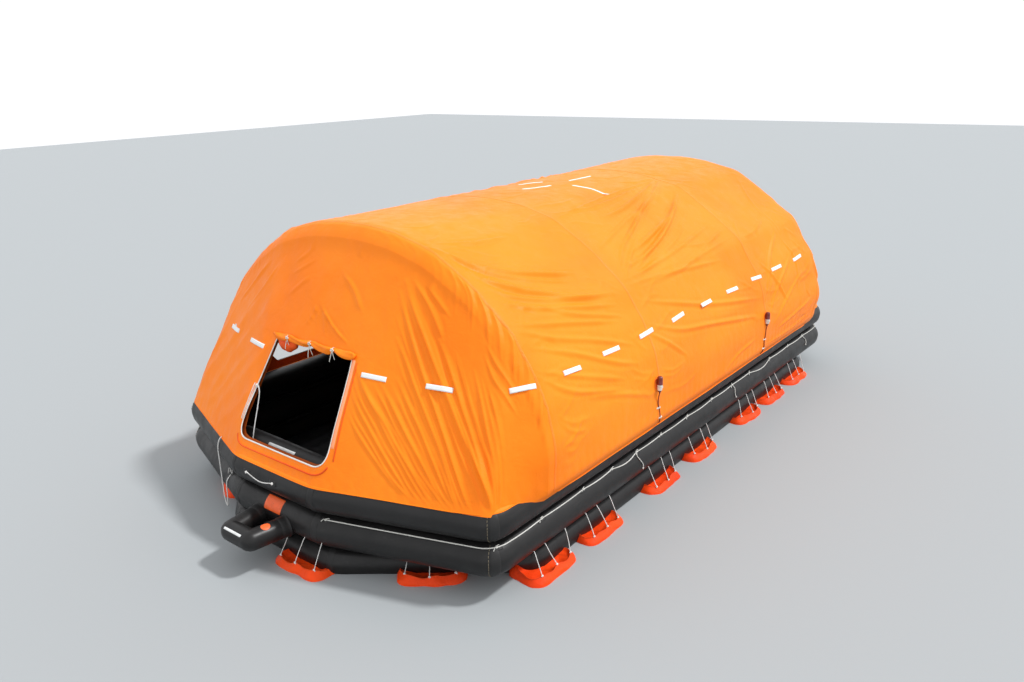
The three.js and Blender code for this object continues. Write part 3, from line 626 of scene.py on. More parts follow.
NEAR_FRONT = folds_from("""
34 12  .87 10.23  .91 9.88  1 9.61
34 11  .72 10.2  .77 9.86  .81 9.58
32 12  1.02 8.97  .95 8.71  .92 8.49
36 14  .84 8.82  .79 8.45  .71 8.02
22 26  .7 9.14  .665 8.95  .61 8.5  .575 8.05
20 20  .71 9.16  .66 9.22  .6 9.34
18 14  .69 9.06  .63 8.86  .575 8.72
22 12  .69 9.13  .64 9.1  .59 9.06
30 10  .82 10.27  .85 9.86  .89 9.58
45 18  .77 12.46  .85 11.91  .92 11.34
40 16  .69 11.89  .78 11.37  .88 10.91
""")
SIDE_FOLDS = folds_from("""
50 20  2.19 7.16  3.03 6.72  3.12 6.36  3.25 6.09  3.47 5.84  3.72 5.63
45 19  2.94 6.4  3.09 6.02  3.22 5.72  3.37 5.45  3.57 5.17  3.89 4.93
35 10  3.05 7.24  3.24 6.97  3.51 6.88
36 10  2.91 4.93  3.25 4.45  3.5 4.07  3.85 3.43
36 10  3.02 4.49  3.32 3.94  3.63 3.23  3.82 2.89
34 9  2.74 3.92  3.25 3.43  3.67 2.65
34 9  2 3.87  3.18 3.12  3.65 2.36
34 10  2.17 5.12  3.19 4.9  3.44 4.63  3.79 4.23
32 9  3.27 5.19  3.48 4.82  3.86 4.29
32 10  4.04 5.09  4.21 5.61  4.35 5.94
32 10  4.02 5.22  4.2 5.82  4.48 6.44
34 10  4.01 5.87  4.19 6.16  4.57 6.74
40 13  4.06 7.27  4.27 7.13  4.53 7.25  4.77 7.51
34 19  4.98 7.7  4.67 7.09  4.39 6.76  4.27 6.74
32 19  4.95 7.48  4.66 6.79  4.4 6.44
34 19  4.96 6.91  4.71 6.27  4.45 5.91  4.22 5.63
34 19  4.92 6.66  4.68 6.12  4.46 5.7  4.23 5.44  4.08 5.34
30 9  4.98 5.38  4.71 5.24  4.55 5.4
30 9  4.94 5.11  4.69 5.01  4.34 4.75
34 10  4.01 4.96  4.24 4.92  4.48 4.79  4.77 4.61
36 11  4.04 4.52  4.24 4.08  4.52 3.5  4.96 2.85
36 11  4.02 3.82  4.22 3.24  4.47 2.88  4.93 2.21
32 9  3.99 3.61  4.09 3.17  4.25 2.27
30 8  4.59 1.04  4.68 1.34  4.9 1.53
36 11  5.66 4.87  5.3 3.9  5.03 2.61
36 10  5.7 3.85  5.31 2.93  5.06 1.95
34 10  5.78 3.04  5.43 2.27  5.16 1.64
32 9  6.11 1.87  5.54 1.58  5.21 1.38
32 9  5.07 4.98  5.3 5.03  5.59 5.29
36 20  4.96 7.63  4.91 7.53  4.43 6.32  4.23 5.89
36 19  4.98 6.89  4.57 5.93  4.13 5.21
36 9  4.87 6.31  4.59 5.62  4.12 5.06
36 12  4.94 7.72  4.44 7.43  4.03 7.04
34 12  4.94 5.68  4.39 5.26  4.04 5.1
34 8  4.99 5.43  4.46 4.89  4.1 4.79
34 9  5.09 4.26  5.3 3.13  5.46 2
36 8  5.94 6.84  5.68 5.69  5.71 4.54
34 8  5.66 4.59  5.73 3.67  5.66 2.25
32 7  5.01 1.07  5.57 1.07  6 1.27
36 7  3.25 2.79  3.6 2.3  3.9 1.8
32 12  2.97 6.8  3.12 6.24  3.32 5.86  3.66 5.46
32 11  2.93 6.06  3.14 5.62  3.4 5.28  3.76 4.96
30 9  2.9 5.66  3.18 5.3  3.5 4.98  3.86 4.62
""")
FAN_ORDER = [8, 7, 6, 5, 4, 3, 2, 1, 0, 11, 12, 13]
BORDER_U = 0.012


def between(folds, order, width, height):
    """Narrower folds halfway between neighbours of a fan."""
    made = []
    for pair in zip(order[:-1], order[1:]):
        lines = []
        for k in pair:
            line = np.array(folds[k][0])
            at = np.linspace(0, len(line) - 1, 7)
            lines.append(np.stack([np.interp(at, np.arange(len(line)), line[:, i]) for i in (0, 1)], 1))
        share = rng.uniform(0.4, 0.6)
        line = lines[0] * share + lines[1] * (1 - share) + rng.uniform(-0.005, 0.005, (7, 2))
        made.append((line.tolist(), width * rng.uniform(0.8, 1.25), height * rng.uniform(0.7, 1.3)))
    return made


def to_border(folds):
    """Folds that run on to the border."""
    made = []
    for line, width, height in folds:
        (u0, v0), (u1, v1) = line[-2:]
        if u1 < 0.24 and u0 > u1:
            t = (u1 - BORDER_U) / (u0 - u1)
            line = line + [(BORDER_U, v1 + (v1 - v0) * min(t, 1.2))]
        made.append((line, width, height))
    return made


def scaled(folds, width_share, height_share):
    return [(line, width * width_share, height * height_share) for line, width, height in folds]


def jittered(folds, change):
    """Copies of folds at places that change(u, v) gives, a little different from the first ones."""
    made = []
    for points, width, height in folds:
        shift = rng.uniform((-0.035, -0.16), (0.035, 0.16))
        bent = [(u + shift[0] * 0.6, v + shift[1] + rng.uniform(-0.05, 0.05)) for u, v in points]
        made.append(([change(u, v) for u, v in bent], width * rng.uniform(0.85, 1.2),
                     height * rng.uniform(0.75, 1.15)))
    return made


def moved_to(line, far_end, left_side):
    if far_end:
        line = [(LAST_ROW - u, v) for u, v in line]
    return [(u, LAST_COLUMN - v) for u, v in line] if left_side else line


def small_folds():
    """Short slack folds that run off the arches' seams, on both sides of the roof."""
    made = []
    for row, side in np.ndindex(4, 2):
        for _ in range(26):
            towards = rng.choice((-1, 1))
            if not 0 <= row + towards * 0.5 <= 3:
                towards = -towards
            v = rng.uniform(1.3, 8.6)
            run = rng.uniform(0.12, 0.34)
            drift = rng.uniform(-0.7, 0.7)
            line = [(row + 3 + towards * run * t + towards * 0.02, v + drift * t + 0.1 * math.sin(5 * t + v))
                    for t in np.linspace(0, 1, 5)]
            made.append((moved_to(line, False, side), rng.uniform(0.020, 0.030), rng.uniform(0.004, 0.009)))
    return made


def crest_folds():
    """Slanting creases over the crest of the first and the last arch, on both sides of the roof."""
    made = []
    for end, side in np.ndindex(2, 2):
        for v in np.arange(3.0, 8.5, 0.30) + rng.uniform(-0.10, 0.10, 19):
            run = rng.uniform(0.5, 0.95)
            line = [(2.15 - 1.25 * t, v + 0.2 - run * t) for t in np.linspace(0, 1, 5)]
            fade = 1 - 0.85 * smoothstep((v - 5.8) / 1.4)
            made.append((moved_to(line, end, side), rng.uniform(0.018, 0.028),
                         rng.uniform(0.007, 0.014) * fade))
    return made


def all_folds():
    def far_u(u):
        return LAST_ROW - u if u < 2 else u

    def left(u, v):
        return u, LAST_COLUMN - v

    def far(u, v):
        return far_u(u), v

    def far_left(u, v):
        return far_u(u), LAST_COLUMN - v

    fan = to_border(NEAR_FAN)
    folds = scaled(fan, 0.66, 0.66)
    for finer_width, finer_height in ((0.0175, 0.0085), (0.0165, 0.0065)):
        folds += to_border(between(fan, FAN_ORDER, finer_width, finer_height))
    front = scaled(NEAR_FRONT, 0.62, 0.80)
    bays = scaled(SIDE_FOLDS, 0.76, 1.95)
    folds += front + bays
    folds += jittered(scaled(fan[::2], 1.5, 0.42), left) + jittered(bays, left)
    folds += jittered(scaled(fan, 0.8, 0.50), far) + jittered(scaled(fan, 0.8, 0.42), far_left)
    folds += jittered(front, far_left)
    return folds + crest_folds() + small_folds()


FOLDS = all_folds()


def fold_height(points):
    """How far the folds lift each point of the canopy."""
    lift = np.zeros(len(points))
    for line, width, height in FOLDS:
        uv = np.clip(np.asarray(line), (0.0, 0.2), (LAST_ROW, LAST_COLUMN - 0.2))
        path = curve_through(canopy_points(uv), 0.05)
        reach = 3.2 * width
        near = np.all((points > path.min(0) - reach) & (points < path.max(0) + reach), axis=1).nonzero()[0]
        if not len(near):
            continue
        far, where, _ = closest_on(points[near], path)
        where /= len(path) - 1
        swell = smoothstep(where / 0.3) * smoothstep((1 - where) / 0.22)
        q = far / (width * (0.65 + 0.35 * swell))
        shape = 1 / (1 + (1.1 * q) ** 2) ** 2 - 0.26 * np.exp(-((q - 1.9) ** 2) / 0.5)
        lift[near] += height * (0.18 + 0.82 * swell) * shape
    return lift


def arch_sag(x, y):
    """How far the cover sags in between the arches."""
    sag = np.zeros(len(x))
    for a, b, depth in zip(ARCH_X[:-1], ARCH_X[1:], (0.020, 0.032, 0.020)):
        t = np.clip((x - a) / (b - a), 0, 1)
        from_arch = np.minimum(t, 1 - t) * (b - a)
        sag += depth * (4 * t * (1 - t)) ** 0.6 * (1 - 0.35 * np.exp(-(from_arch / 0.1) ** 2))
    return sag * (0.4 + 0.6 * smoothstep((np.abs(y) - 0.8) / 1.1))


# How far the canopy stands out at its corners between the flat parts of an arch, up to the ridge.
FACETS = [(0, 0), (1, 0), (1.7, 0.022), (2.6, 0), (3.5, 0.024), (4.2, 0.006), (5, 0.052), (6, 0.004),
          (7, 0.038), (7.8, 0.006), (8.6, 0.018), (9, 0.008)]


def facets(v):
    at, out = zip(*FACETS)
    return sum(np.interp(RIDGE - np.abs(v + shift - RIDGE), at, out) for shift in (-0.12, 0, 0.12)) / 3


def crest_swell(uv):
    """How far the round of the first and the last arch's tube lifts the cloth in front of the crest."""
    u = np.minimum(uv[:, 0], LAST_ROW - uv[:, 0])
    run = np.interp(u, (0, 1, 2, 3, 4), (-2.55, 0, 0.16, 0.235, 3.2))
    round_ = np.exp(-((run - 0.09) / np.where(run < 0.09, 0.16, 0.075)) ** 2)
    return 0.024 * round_ * near_ridge(uv[:, 1])[:, 0]


def slack(points, uv):
    """The canopy's displacement out of its plain surface at each point."""
    x, y, z = points.T
    above = z - BORDER_Z
    lift = fold_height(points) * (0.12 + 0.88 * smoothstep(above / 0.12))
    lift -= arch_sag(x, y) * smoothstep(above / 0.5)
    lift += 0.035 * smoothstep((x - 1.65) / 1.3) * smoothstep(above / 0.35)
    lift += facets(uv[:, 1]) * (0.35 + 0.65 * smoothstep((x + 1.4) / 3.0)) * smoothstep(above / 0.35)
    lift += crest_swell(uv)
    for height, cells, shift, seed in ((0.0045, (2.4, 2.4, 3.0), 0, 3), (0.0030, (5.5, 5.5, 4.0), 7, 5),
                                       (0.0020, (13.0, 13.0, 8.0), 3, 9)):
        lift += height * noise3(points * cells + shift, seed) * smoothstep(above / 0.22)
    along = np.where(np.abs(y) > 2.3, x, y)
    gather = np.sin(2 * np.pi * along / 0.13 + 2.5 * noise3(points * 2.0, 11))
    return lift + 0.0022 * gather * np.exp(-np.abs(above - 0.06) / 0.12) * smoothstep(above / 0.06)


def door_outline(door):
    """The door's outline from its top left corner down, round its bottom and up, open at the top."""
    slope = (door["half_bottom"] - door["half_top"]) / (door["top"] - door["bottom"])
    round_, half, bottom = door["round"], door["half_bottom"], door["bottom"]
    corner = bend((-half + slope * round_, bottom + round_), (-half, bottom), (-half + round_, bottom), 10)
    left = np.vstack([[(-door["half_top"], door["top"])], corner])
    return filled(np.vstack([left, left[::-1] * (-1, 1)]), 0.02) + (0, BORDER_Z)


NEAR_OUTLINE = door_outline(END_DOOR)
SIDE_OUTLINE = door_outline(SIDE_DOOR) + (SIDE_DOOR_X, 0)


def inside_outline(points, outline):
    x, y = points.T
    inside = np.zeros(len(points), bool)
    for (x0, y0), (x1, y1) in zip(outline, np.roll(outline, -1, 0)):
        if y0 != y1:
            inside ^= ((y0 > y) != (y1 > y)) & (x < (x1 - x0) * (y - y0) / (y1 - y0) + x0)
    return inside


def open_door(parts, side, axis, outline):
    """Cuts a door's hole into a grid, on this side (-1 or 1) along this axis."""
    points, faces, corners = parts
    points = points.copy()
    plane = [1 - axis, 2]
    inside = inside_outline(points[:, plane], outline) & (points[:, axis] * side > (4 if axis == 0 else 2))
    if not inside.any():
        return parts
    tree = tree_of(parts)
    quads = np.array(faces)
    keep = ~inside[quads].all(axis=1)
    rim = np.unique(quads[keep][inside[quads[keep]]])
    spots = closest_on(points[rim][:, plane], np.vstack([outline, outline[:1]]))[2]
    towards = np.zeros(3)
    towards[axis] = -side
    for k, spot in zip(rim, spots):
        points[k, plane] = spot
        hit = tree.ray_cast(Vector(points[k] - 0.6 * towards), Vector(towards), 1.5)[0]
        if hit is not None:
            points[k] = hit
    used = np.unique(quads[keep])
    renumber = np.full(len(points), -1)
    renumber[used] = np.arange(len(used))
    return points[used], renumber[quads[keep]].tolist(), corners[np.repeat(keep, 4)]


def canopy_panel(u, v, inset=0.0):
    """The canopy's cloth over these parameters: the whole of it, and with its doors cut out."""
    plain = surface("ui,ijk,vj->uvk", u, v)
    normal = unit(np.cross(np.gradient(plain, axis=0), np.gradient(plain, axis=1)))
    uv = np.stack(np.meshgrid(u, v, indexing="ij"), -1).reshape(-1, 2)
    lift = slack(plain.reshape(-1, 3), uv)
    if inset:
        lift = np.minimum(lift, 0) - inset
    whole = parts = grid(plain + normal * lift.reshape(len(u), len(v), 1))
    for door in ((-1, 0, NEAR_OUTLINE), (1, 0, NEAR_OUTLINE), (1, 1, SIDE_OUTLINE)):
        parts = open_door(parts, *door)
    return whole, parts


def stepped(*spans):
    """Parameters over neighbouring spans, each given as (start, end, steps)."""
    parts = [np.linspace(a, b, n, endpoint=False) for a, b, n in spans]
    return np.concatenate(parts + [[spans[-1][1]]])


def columns(*counts):
    """Profile parameters from the right border to the left one, with this many steps up to the
    shoulder, from there to the roof's edge and from there to the ridge."""
    half = stepped(*zip((0, SHOULDER, ROOF_EDGE), (SHOULDER, ROOF_EDGE, RIDGE), counts))
    return np.concatenate([half, LAST_COLUMN - half[-2::-1]])


def add_canopy():
    near_columns = stepped((0, 3, 24), (3, 5, 66), (5, 7, 192), (7, 9, 44), (9, 11, 38), (11, 13, 48),
                           (13, 18, 34))
    roof_columns = stepped((0, 5, 112), (5, 9, 116), (9, 13, 34), (13, 18, 42))
    roof_rows = stepped((2, 3, 7), (3, 4, 84), (4, 5, 112), (5, 6, 76), (6, 7, 6))
    far_rows = LAST_ROW - stepped((0, 0.93, 100), (0.93, 2, 20))[::-1]
    sheets, whole = [], []
    for name, rows, across, nodes, size, arches in (
            ("end_near", stepped((0, 0.93, 148), (0.93, 2, 26)), near_columns, ["near_end"], (3.9, 5.2), [1]),
            ("roof", roof_rows, roof_columns, ["bay_1", "bay_2", "bay_3"], (6.95, 8.16), [1, 2, 3, 4]),
            ("end_far", far_rows, columns(56, 62, 40), ["far_end"], (3.9, 5.2), [4])):
        panel, parts = canopy_panel(rows, across)
        whole.append(panel)
        cover = piece("canopy_" + name, parts, CANOPY, ["canopy_" + node for node in nodes])
        sheets.append((cover, parts, size, arches))
    return sheets, tree_of(merge(*whole))


SHEETS, CANOPY_TREE = add_canopy()
SUNK, STRIP_END = -0.0006, 0.002


def strip_on(tree, path, width, lift, spacing=0.015, across=5):
    """A strip that lies on a surface along a path; its edges and ends are let down onto it."""
    spots, normals = nearest_all(tree, curve_through(path, spacing))
    along = unit(np.gradient(spots, axis=0))
    side = unit(np.cross(normals, along))
    made = np.zeros((len(spots), across, 3))
    for i, j in np.ndindex(len(spots), across):
        share = j / (across - 1) - 0.5
        on, _ = nearest(tree, spots[i] + side[i] * width * share)
        low = i in (0, len(spots) - 1) or abs(share) == 0.5
        made[i, j] = on + normals[i] * (SUNK if low else lift)
    return grid(np.concatenate([made[:1] - along[0] * STRIP_END, made, made[-1:] + along[-1] * STRIP_END]))


def stitch_line(tree, path, lift, pitch, radius):
    """A row of short stitches on a surface along a path."""
    points, faces = [], []
    spots, normals = nearest_all(tree, curve_through(path, pitch))
    for a, b, normal in zip(spots[:-1], spots[1:], normals):
        end = a + (b - a) * 0.62
        side = unit(np.cross(normal, unit(end - a)))
        base = len(points)
        for spot, height in ((a, 0.0), ((a + end) / 2, 1.0), (end, 0.0)):
            centre = spot + normal * (lift + (height - 1) * radius * 0.6)
            points += [centre - side * radius, centre + normal * radius, centre + side * radius]
        faces += [[base + k, base + k + 1, base + k + 4, base + k + 3] for k in (0, 1, 3, 4)]
    corners = np.tile([[0, 0], [0.001, 0], [0.001, 0.004], [0, 0.004]], (len(faces), 1))
    return np.array(points), faces, corners


# Tubes, arches and floor

LOWER_R, TUBE_R = 0.155, 0.185
MIDDLE_Z, UPPER_Z = 0.7953, 1.1656
PLAN = {"half_length": 4.682, "end_half": 0.610, "corner_x": 4.116, "half_width": 2.325}
LOWER_PLAN = {"half_length": 4.682, "end_half": 0.740, "corner_x": 3.500, "half_width": 2.296}
TUBES = {"upper_tube": (PLAN, UPPER_Z, TUBE_R), "middle_tube": (PLAN, MIDDLE_Z, TUBE_R),
         "lower_tube": (LOWER_PLAN, 0.455, LOWER_R)}
CORNER_REACH, TUBE_SIDES, BAND_SIDES = 0.100, 42, 44
FLOOR_TOP, FLOOR_BOTTOM = 0.440, 0.364
THWART_R = 0.149


def octagon(plan, z):
    x, end, corner, y = plan["half_length"], plan["end_half"], plan["corner_x"], plan["half_width"]
    half = [(-x, end), (-x, -end), (-corner, -y), (corner, -y)]
    return np.array([(a, b, z) for a, b in half] + [(-a, -b, z) for a, b in half])


def add_tube(name, plan, z, radius):
    """A tube's skin and the glued bands round its mitred corners."""
    corners = octagon(plan, z)
    path = rounded(corners, CORNER_REACH, 0.085, closed=True)
    points, faces, uv = tube(path, radius, TUBE_SIDES, closed=True, up=UP)
    centre = np.repeat(path, TUBE_SIDES, axis=0)
    to_corner = np.min(np.linalg.norm(centre[:, None] - corners[None], axis=2), axis=1)
    angle = np.tile(2 * np.pi * np.arange(TUBE_SIDES) / TUBE_SIDES, len(path))
    pucker = 0.0022 * np.sin(9 * angle) * np.exp(-(to_corner / 0.16) ** 2)
    lift = pucker + 0.0012 * noise3(points * 3.0, 21) - 0.0012
    skin = (points + unit(points - centre) * lift[:, None], faces, uv)
    piece(name + "_skin", skin, RUBBER, [name])
    path = rounded(corners, CORNER_REACH, 0.012, closed=True)
    rise = np.array([-0.0008, 0.0026, 0.003, 0.003, 0.003, 0.0026, -0.0008])
    bands = []
    for corner in corners:
        around = np.linalg.norm(path - corner, axis=1).argmin() + np.arange(-3, 4)
        bands.append(tube(path[around % len(path)], radius, BAND_SIDES, rise, up=UP, cap=False))
    piece(name + "_bands", merge(*bands), PATCH)
    return tree_of(skin)


TUBE_TREES = {name: add_tube(name, *values) for name, values in TUBES.items()}


def add_arches():
    rise = np.array([0.001, 0.004, 0.004, 0.004, -0.001])
    for i, x in enumerate(ARCH_X):
        hoop = station(x, 1.0, WALL + ARCH_R + 0.005)[1:-1]
        hoop[[0, -1], 2] = BORDER_Z + 0.012
        path = rounded(hoop, 0.12, 0.06, steps=5)
        skin = tube(path, ARCH_R, 24, up=(1, 0, 0))
        piece("arch_skin_%d" % (i + 1), skin, ARCH_RUBBER, ["arch_%d" % (i + 1)])
        feet = [tube(end, ARCH_R, 28, rise, up=(1, 0, 0), cap=False) for end in (path[:5], path[-5:])]
        piece("arch_collars_%d" % (i + 1), merge(*feet), PATCH)


def add_floor():
    """The quilted floor inside the lower tube."""
    x, share = np.linspace(-4.55, 4.55, 132), np.linspace(-1, 1, 90)
    inset = 0.12
    far, end, corner, wide = (size - inset for size in LOWER_PLAN.values())
    y = np.interp(np.abs(x), [0, corner, far], [wide, wide, end])[:, None] * share
    quilt = np.abs(np.sin(np.pi * y / 0.21)) ** 0.6
    cross = np.abs(np.sin(np.pi * x / 0.84))[:, None] ** 0.35
    z = FLOOR_TOP - 0.004 - 0.020 * (1 - quilt * (0.55 + 0.45 * cross))
    top = np.stack([np.broadcast_to(x[:, None], y.shape), y, z], 2)
    z += 0.002 * noise3(top.reshape(-1, 3) * 4, 31).reshape(y.shape)
    top[:, :, 2] = z - 0.035 * (1 - smoothstep((1 - np.abs(share)) / 0.03))
    bottom = (top[::5, ::5] * (1, 1, 0) + (0, 0, FLOOR_BOTTOM))[:, ::-1]
    piece("floor_cloth", merge(grid(top), grid(bottom)), FLOOR_CLOTH, ["floor"])


def add_thwarts():
    for i, x in enumerate((-1.650, 1.650)):
        line = np.array([(x, y, FLOOR_TOP + 0.15 + GAP) for y in np.linspace(-2.22, 2.22, 40)])
        skin = tube(line, THWART_R, 36, up=(1, 0, 0))
        piece("thwart_skin_%d" % (i + 1), skin, RUBBER, ["thwart_%d" % (i + 1)])


def ring_inside(plan, inward, z):
    """A line round the raft, this far inside a tube's centre line."""
    inner = {"half_length": plan["half_length"] - inward, "end_half": plan["end_half"] - 0.4 * inward,
             "corner_x": plan["corner_x"] - 0.5 * inward, "half_width": plan["half_width"] - inward}
    corners = octagon(inner, z)
    ends = zip(corners, np.roll(corners, -1, 0))
    return np.vstack([np.linspace(a, b, 16, endpoint=False) for a, b in ends])


def add_gussets():
    """Rubber strips glued in between neighbouring tubes."""
    inward, bite, sheet = 0.06, 0.004, 0.003
    parts = []
    for high, low in (("upper_tube", "middle_tube"), ("middle_tube", "lower_tube")):
        levels = []
        for name, side in ((high, -1), (low, 1)):
            plan, z, radius = TUBES[name]
            levels.append((plan, z + side * (math.sqrt(radius ** 2 - inward ** 2) - bite)))
        outer, inner = ([ring_inside(plan, inward + thick, z) for plan, z in levels] for thick in (0, sheet))
        section = np.stack(outer + inner[::-1], 1)
        uv = (np.arange(5) * 0.03, np.arange(len(section) + 1) * 0.1)
        parts.append(grid(section, wrap_rows=True, wrap_columns=True, uv=uv))
    piece("tube_gussets", merge(*parts), RUBBER)


add_arches()
add_floor()
add_thwarts()
add_gussets()

# Boarding ramps

RAMP = {"z": 0.740, "half_inner": 0.235, "half_outer": 0.165, "reach": 5.240, "offset": 0.020, "inner": 4.730}
RAMP_R, COLLAR_X, SHEET_X = 0.108, 4.845, (4.80, 5.225)


def add_ramp(label, end):
    corners = [(RAMP["inner"], -RAMP["half_inner"]), (RAMP["reach"], -RAMP["half_outer"]),
               (RAMP["reach"], RAMP["half_outer"]), (RAMP["inner"], RAMP["half_inner"])]
    corners = [(end * x, y - end * RAMP["offset"], RAMP["z"]) for x, y in corners]
    path = rounded(corners, 0.010, 0.016, steps=5)
    skin = tube(path, RAMP_R, 36, up=UP)
    piece("ramp_skin_" + label, skin, RUBBER, ["ramp_" + label])
    collars = []
    for ends in (path, path[::-1]):
        part = ends[np.abs(ends[:, 0]) > COLLAR_X][:7]
        rise = np.full(len(part), 0.004)
        rise[0], rise[-1] = 0.012, -0.001
        collars.append(tube(part, RAMP_R, 36, rise, up=UP, cap=False))
    piece("ramp_collars_" + label, merge(*collars), PATCH)
    x, share = np.linspace(*SHEET_X, 26), np.linspace(-1, 1, 22)
    y = np.interp(x, [RAMP["inner"], RAMP["reach"]], [0.17, 0.105])[:, None] * share - end * RAMP["offset"]
    z = 0.679 - 0.008 * (1 - share ** 2) * np.sin(np.pi * np.linspace(0, 1, 26))[:, None]
    top = np.stack([np.broadcast_to(end * x[:, None], y.shape), y, z], 2)
    if end < 0:
        top = top[:, ::-1]
    under = top[:, ::-1] - (0, 0, 0.009)
    piece("ramp_sheet_" + label, merge(grid(top), grid(under)), FLOOR_CLOTH, ["ramp_%s_floor" % label])
    return tree_of(skin)


RAMP_TREES = {label: add_ramp(label, end) for label, end in (("near", -1), ("far", 1))}

# Water pockets

# Height above the pocket's bottom, and there its inner and outer edge and half its length.
POCKET_LEVELS = np.array([(0.000, -0.050, 0.215, 0.270), (0.060, -0.075, 0.275, 0.315),
                          (0.250, -0.090, 0.335, 0.350), (0.375, -0.090, 0.352, 0.362),
                          (0.415, -0.090, 0.345, 0.352), (0.470, -0.060, 0.300, 0.318)])
POCKET_POINTS = 54
SIDE_POCKETS = {"right": [-3.442, -2.526, -1.194, -0.169, 1.244, 2.121, 3.072],
                "left": [-3.150, -1.750, -0.700, 0.250, 1.194, 2.526, 3.442]}


def pocket_ring(z):
    """A pocket's outline at one height, starting in the middle of its inner side."""
    near, far, half = (np.interp(z, POCKET_LEVELS[:, 0], POCKET_LEVELS[:, k]) for k in (1, 2, 3))
    line = np.array([(0, near), (-half, near), (-half - 0.008, far - 0.075), (-half + 0.075, far),
                     (0, far + 0.014), (half - 0.075, far), (half + 0.008, far - 0.075), (half, near),
                     (0, near)])
    ring = evenly(line, POCKET_POINTS)
    for _ in range(3):
        ring = (np.roll(ring, 1, 0) + 2 * ring + np.roll(ring, -1, 0)) / 4
    return np.column_stack([ring, np.full(POCKET_POINTS, z)])


def pocket_skin(seed):
    """An open-mouthed bag of slack cloth: u along the tube, v outwards, z up."""
    outer = np.array([pocket_ring(z) for z in stepped((0.0, 0.06, 4), (0.06, 0.36, 13), (0.36, 0.47, 9))])
    flat = outer.reshape(-1, 3)
    out = unit((flat - (0, 0.1, 0)) * (1, 1, 0))
    rim = smoothstep((flat[:, 2] - 0.30) / 0.12)
    angle = np.arctan2(flat[:, 1] - 0.1, flat[:, 0])
    lift = 0.010 * noise3(flat * 7 + seed * 3.7, 40 + seed) + 0.006 * noise3(flat * 17 + seed, 60 + seed)
    lift += 0.010 * rim * np.sin(3 * angle + seed) + 0.004 * rim * np.sin(7 * angle + 2 * seed) - 0.012
    moved = flat + out * lift[:, None]
    droop = 0.5 + 0.5 * np.cos(6.5 * angle + 1.3 * seed) + 0.3 * np.sin(3 * angle + seed)
    moved[:, 2] -= rim * (0.006 + 0.024 * np.clip(droop, 0, 1.3)) * smoothstep(flat[:, 1] / 0.1)
    return moved.reshape(outer.shape)


def place_pocket(points, x, y, turn):
    """Pocket points to their place; as they are made, they face -Y."""
    u, v, z = points[..., 0], -points[..., 1], points[..., 2]
    c, s = math.cos(turn), math.sin(turn)
    return np.stack([x + c * u - s * v, y + s * u + c * v, z], -1)


def add_pocket(label, x, y, turn, seed):
    skin = pocket_skin(seed)
    middle = np.array([0, 0.09, 0])
    inner = skin[-1] + unit((middle - skin[-1]) * (1, 1, 0)) * 0.004
    bottom = [skin[0] + (middle - skin[0]) * t * (1, 1, 0) for t in (0.97, 0.7, 0.4, 0.15)]
    # The slack cloth inside the mouth floats up to just above the waterline.
    mouth = [inner]
    heart = np.array([0.02 * math.sin(seed), 0.13, 0.0])
    for t in (0.05, 0.11, 0.19, 0.28, 0.38, 0.48, 0.58, 0.68, 0.78, 0.88, 0.97):
        ring = inner + (heart - inner) * t * (1, 1, 0)
        crumple = 0.016 * noise3(ring * (9, 9, 0) + seed * 2.3, 80 + seed) * smoothstep(t / 0.2)
        crumple += 0.006 * noise3(ring * (24, 24, 0) + seed * 1.7, 120 + seed) * smoothstep(t / 0.15)
        back = 0.055 * smoothstep((0.08 - ring[:, 1]) / 0.1) * (1 - t)
        low = WATERLINE + 0.014 + 0.05 * (1 - t) ** 3
        ring[:, 2] = np.maximum(low + crumple + back, WATERLINE + 0.006)
        mouth.append(ring)
    around = np.arange(POCKET_POINTS + 1) * 0.037
    sides = [grid(place_pocket(np.array(rings), x, y, turn), wrap_columns=True,
                  uv=(around, np.arange(len(rings) + 1) * 0.016)) for rings in (bottom + list(skin), mouth)]
    piece("pocket_bag_" + label, merge(*sides), POCKET, ["pocket_" + label])
    rim = place_pocket(skin[-1], x, y, turn)
    hem = tube(rim - (0, 0, 0.004), 0.01, 8, 0.004 - 0.01, closed=True, up=UP, squash=2.2)
    piece("pocket_hem_" + label, hem, POCKET_HEM)
    return rim


def pocket_cords(label, rim, x, y, turn, seed):
    """Taut cords from the middle tube's underside to the pocket's rim."""
    out = np.array([math.sin(turn), -math.cos(turn), 0])
    along = np.array([math.cos(turn), math.sin(turn), 0])
    outer = rim[(rim - (x, y, 0)) @ out > 0.2]
    reach = (outer - (x, y, 0)) @ along
    local = np.random.default_rng(seed)
    cords = []
    for share in (-0.82, 0.0, 0.82):
        foot = outer[np.abs(reach - share * reach.max()).argmin()]
        top = foot - out * ((foot - (x, y, 0)) @ out) + along * local.uniform(-0.05, 0.05)
        below = top * (1, 1, 0) + UP * (MIDDLE_Z - 0.10) + out * 0.17
        spot, normal = nearest(TUBE_TREES["middle_tube"], below)
        tie = spot + normal * 0.004
        down = foot + UP * 0.004
        middle = (tie + down) / 2 + out * local.uniform(0.0, 0.012) - UP * 0.006
        cord = [tie - normal * 0.01, tie, middle, down, down - UP * 0.035 + out * 0.004]
        knot = [down + along * 0.012, down + out * 0.012 + UP * 0.006, down - along * 0.012,
                down + UP * 0.014 + out * 0.006, down + along * 0.01 - UP * 0.012]
        cords += [sweep(curve_through(cord, 0.03), 0.0042, 6), sweep(curve_through(knot, 0.004), 0.0046, 6)]
    piece("pocket_cords_" + label, merge(*cords), THIN_ROPE)


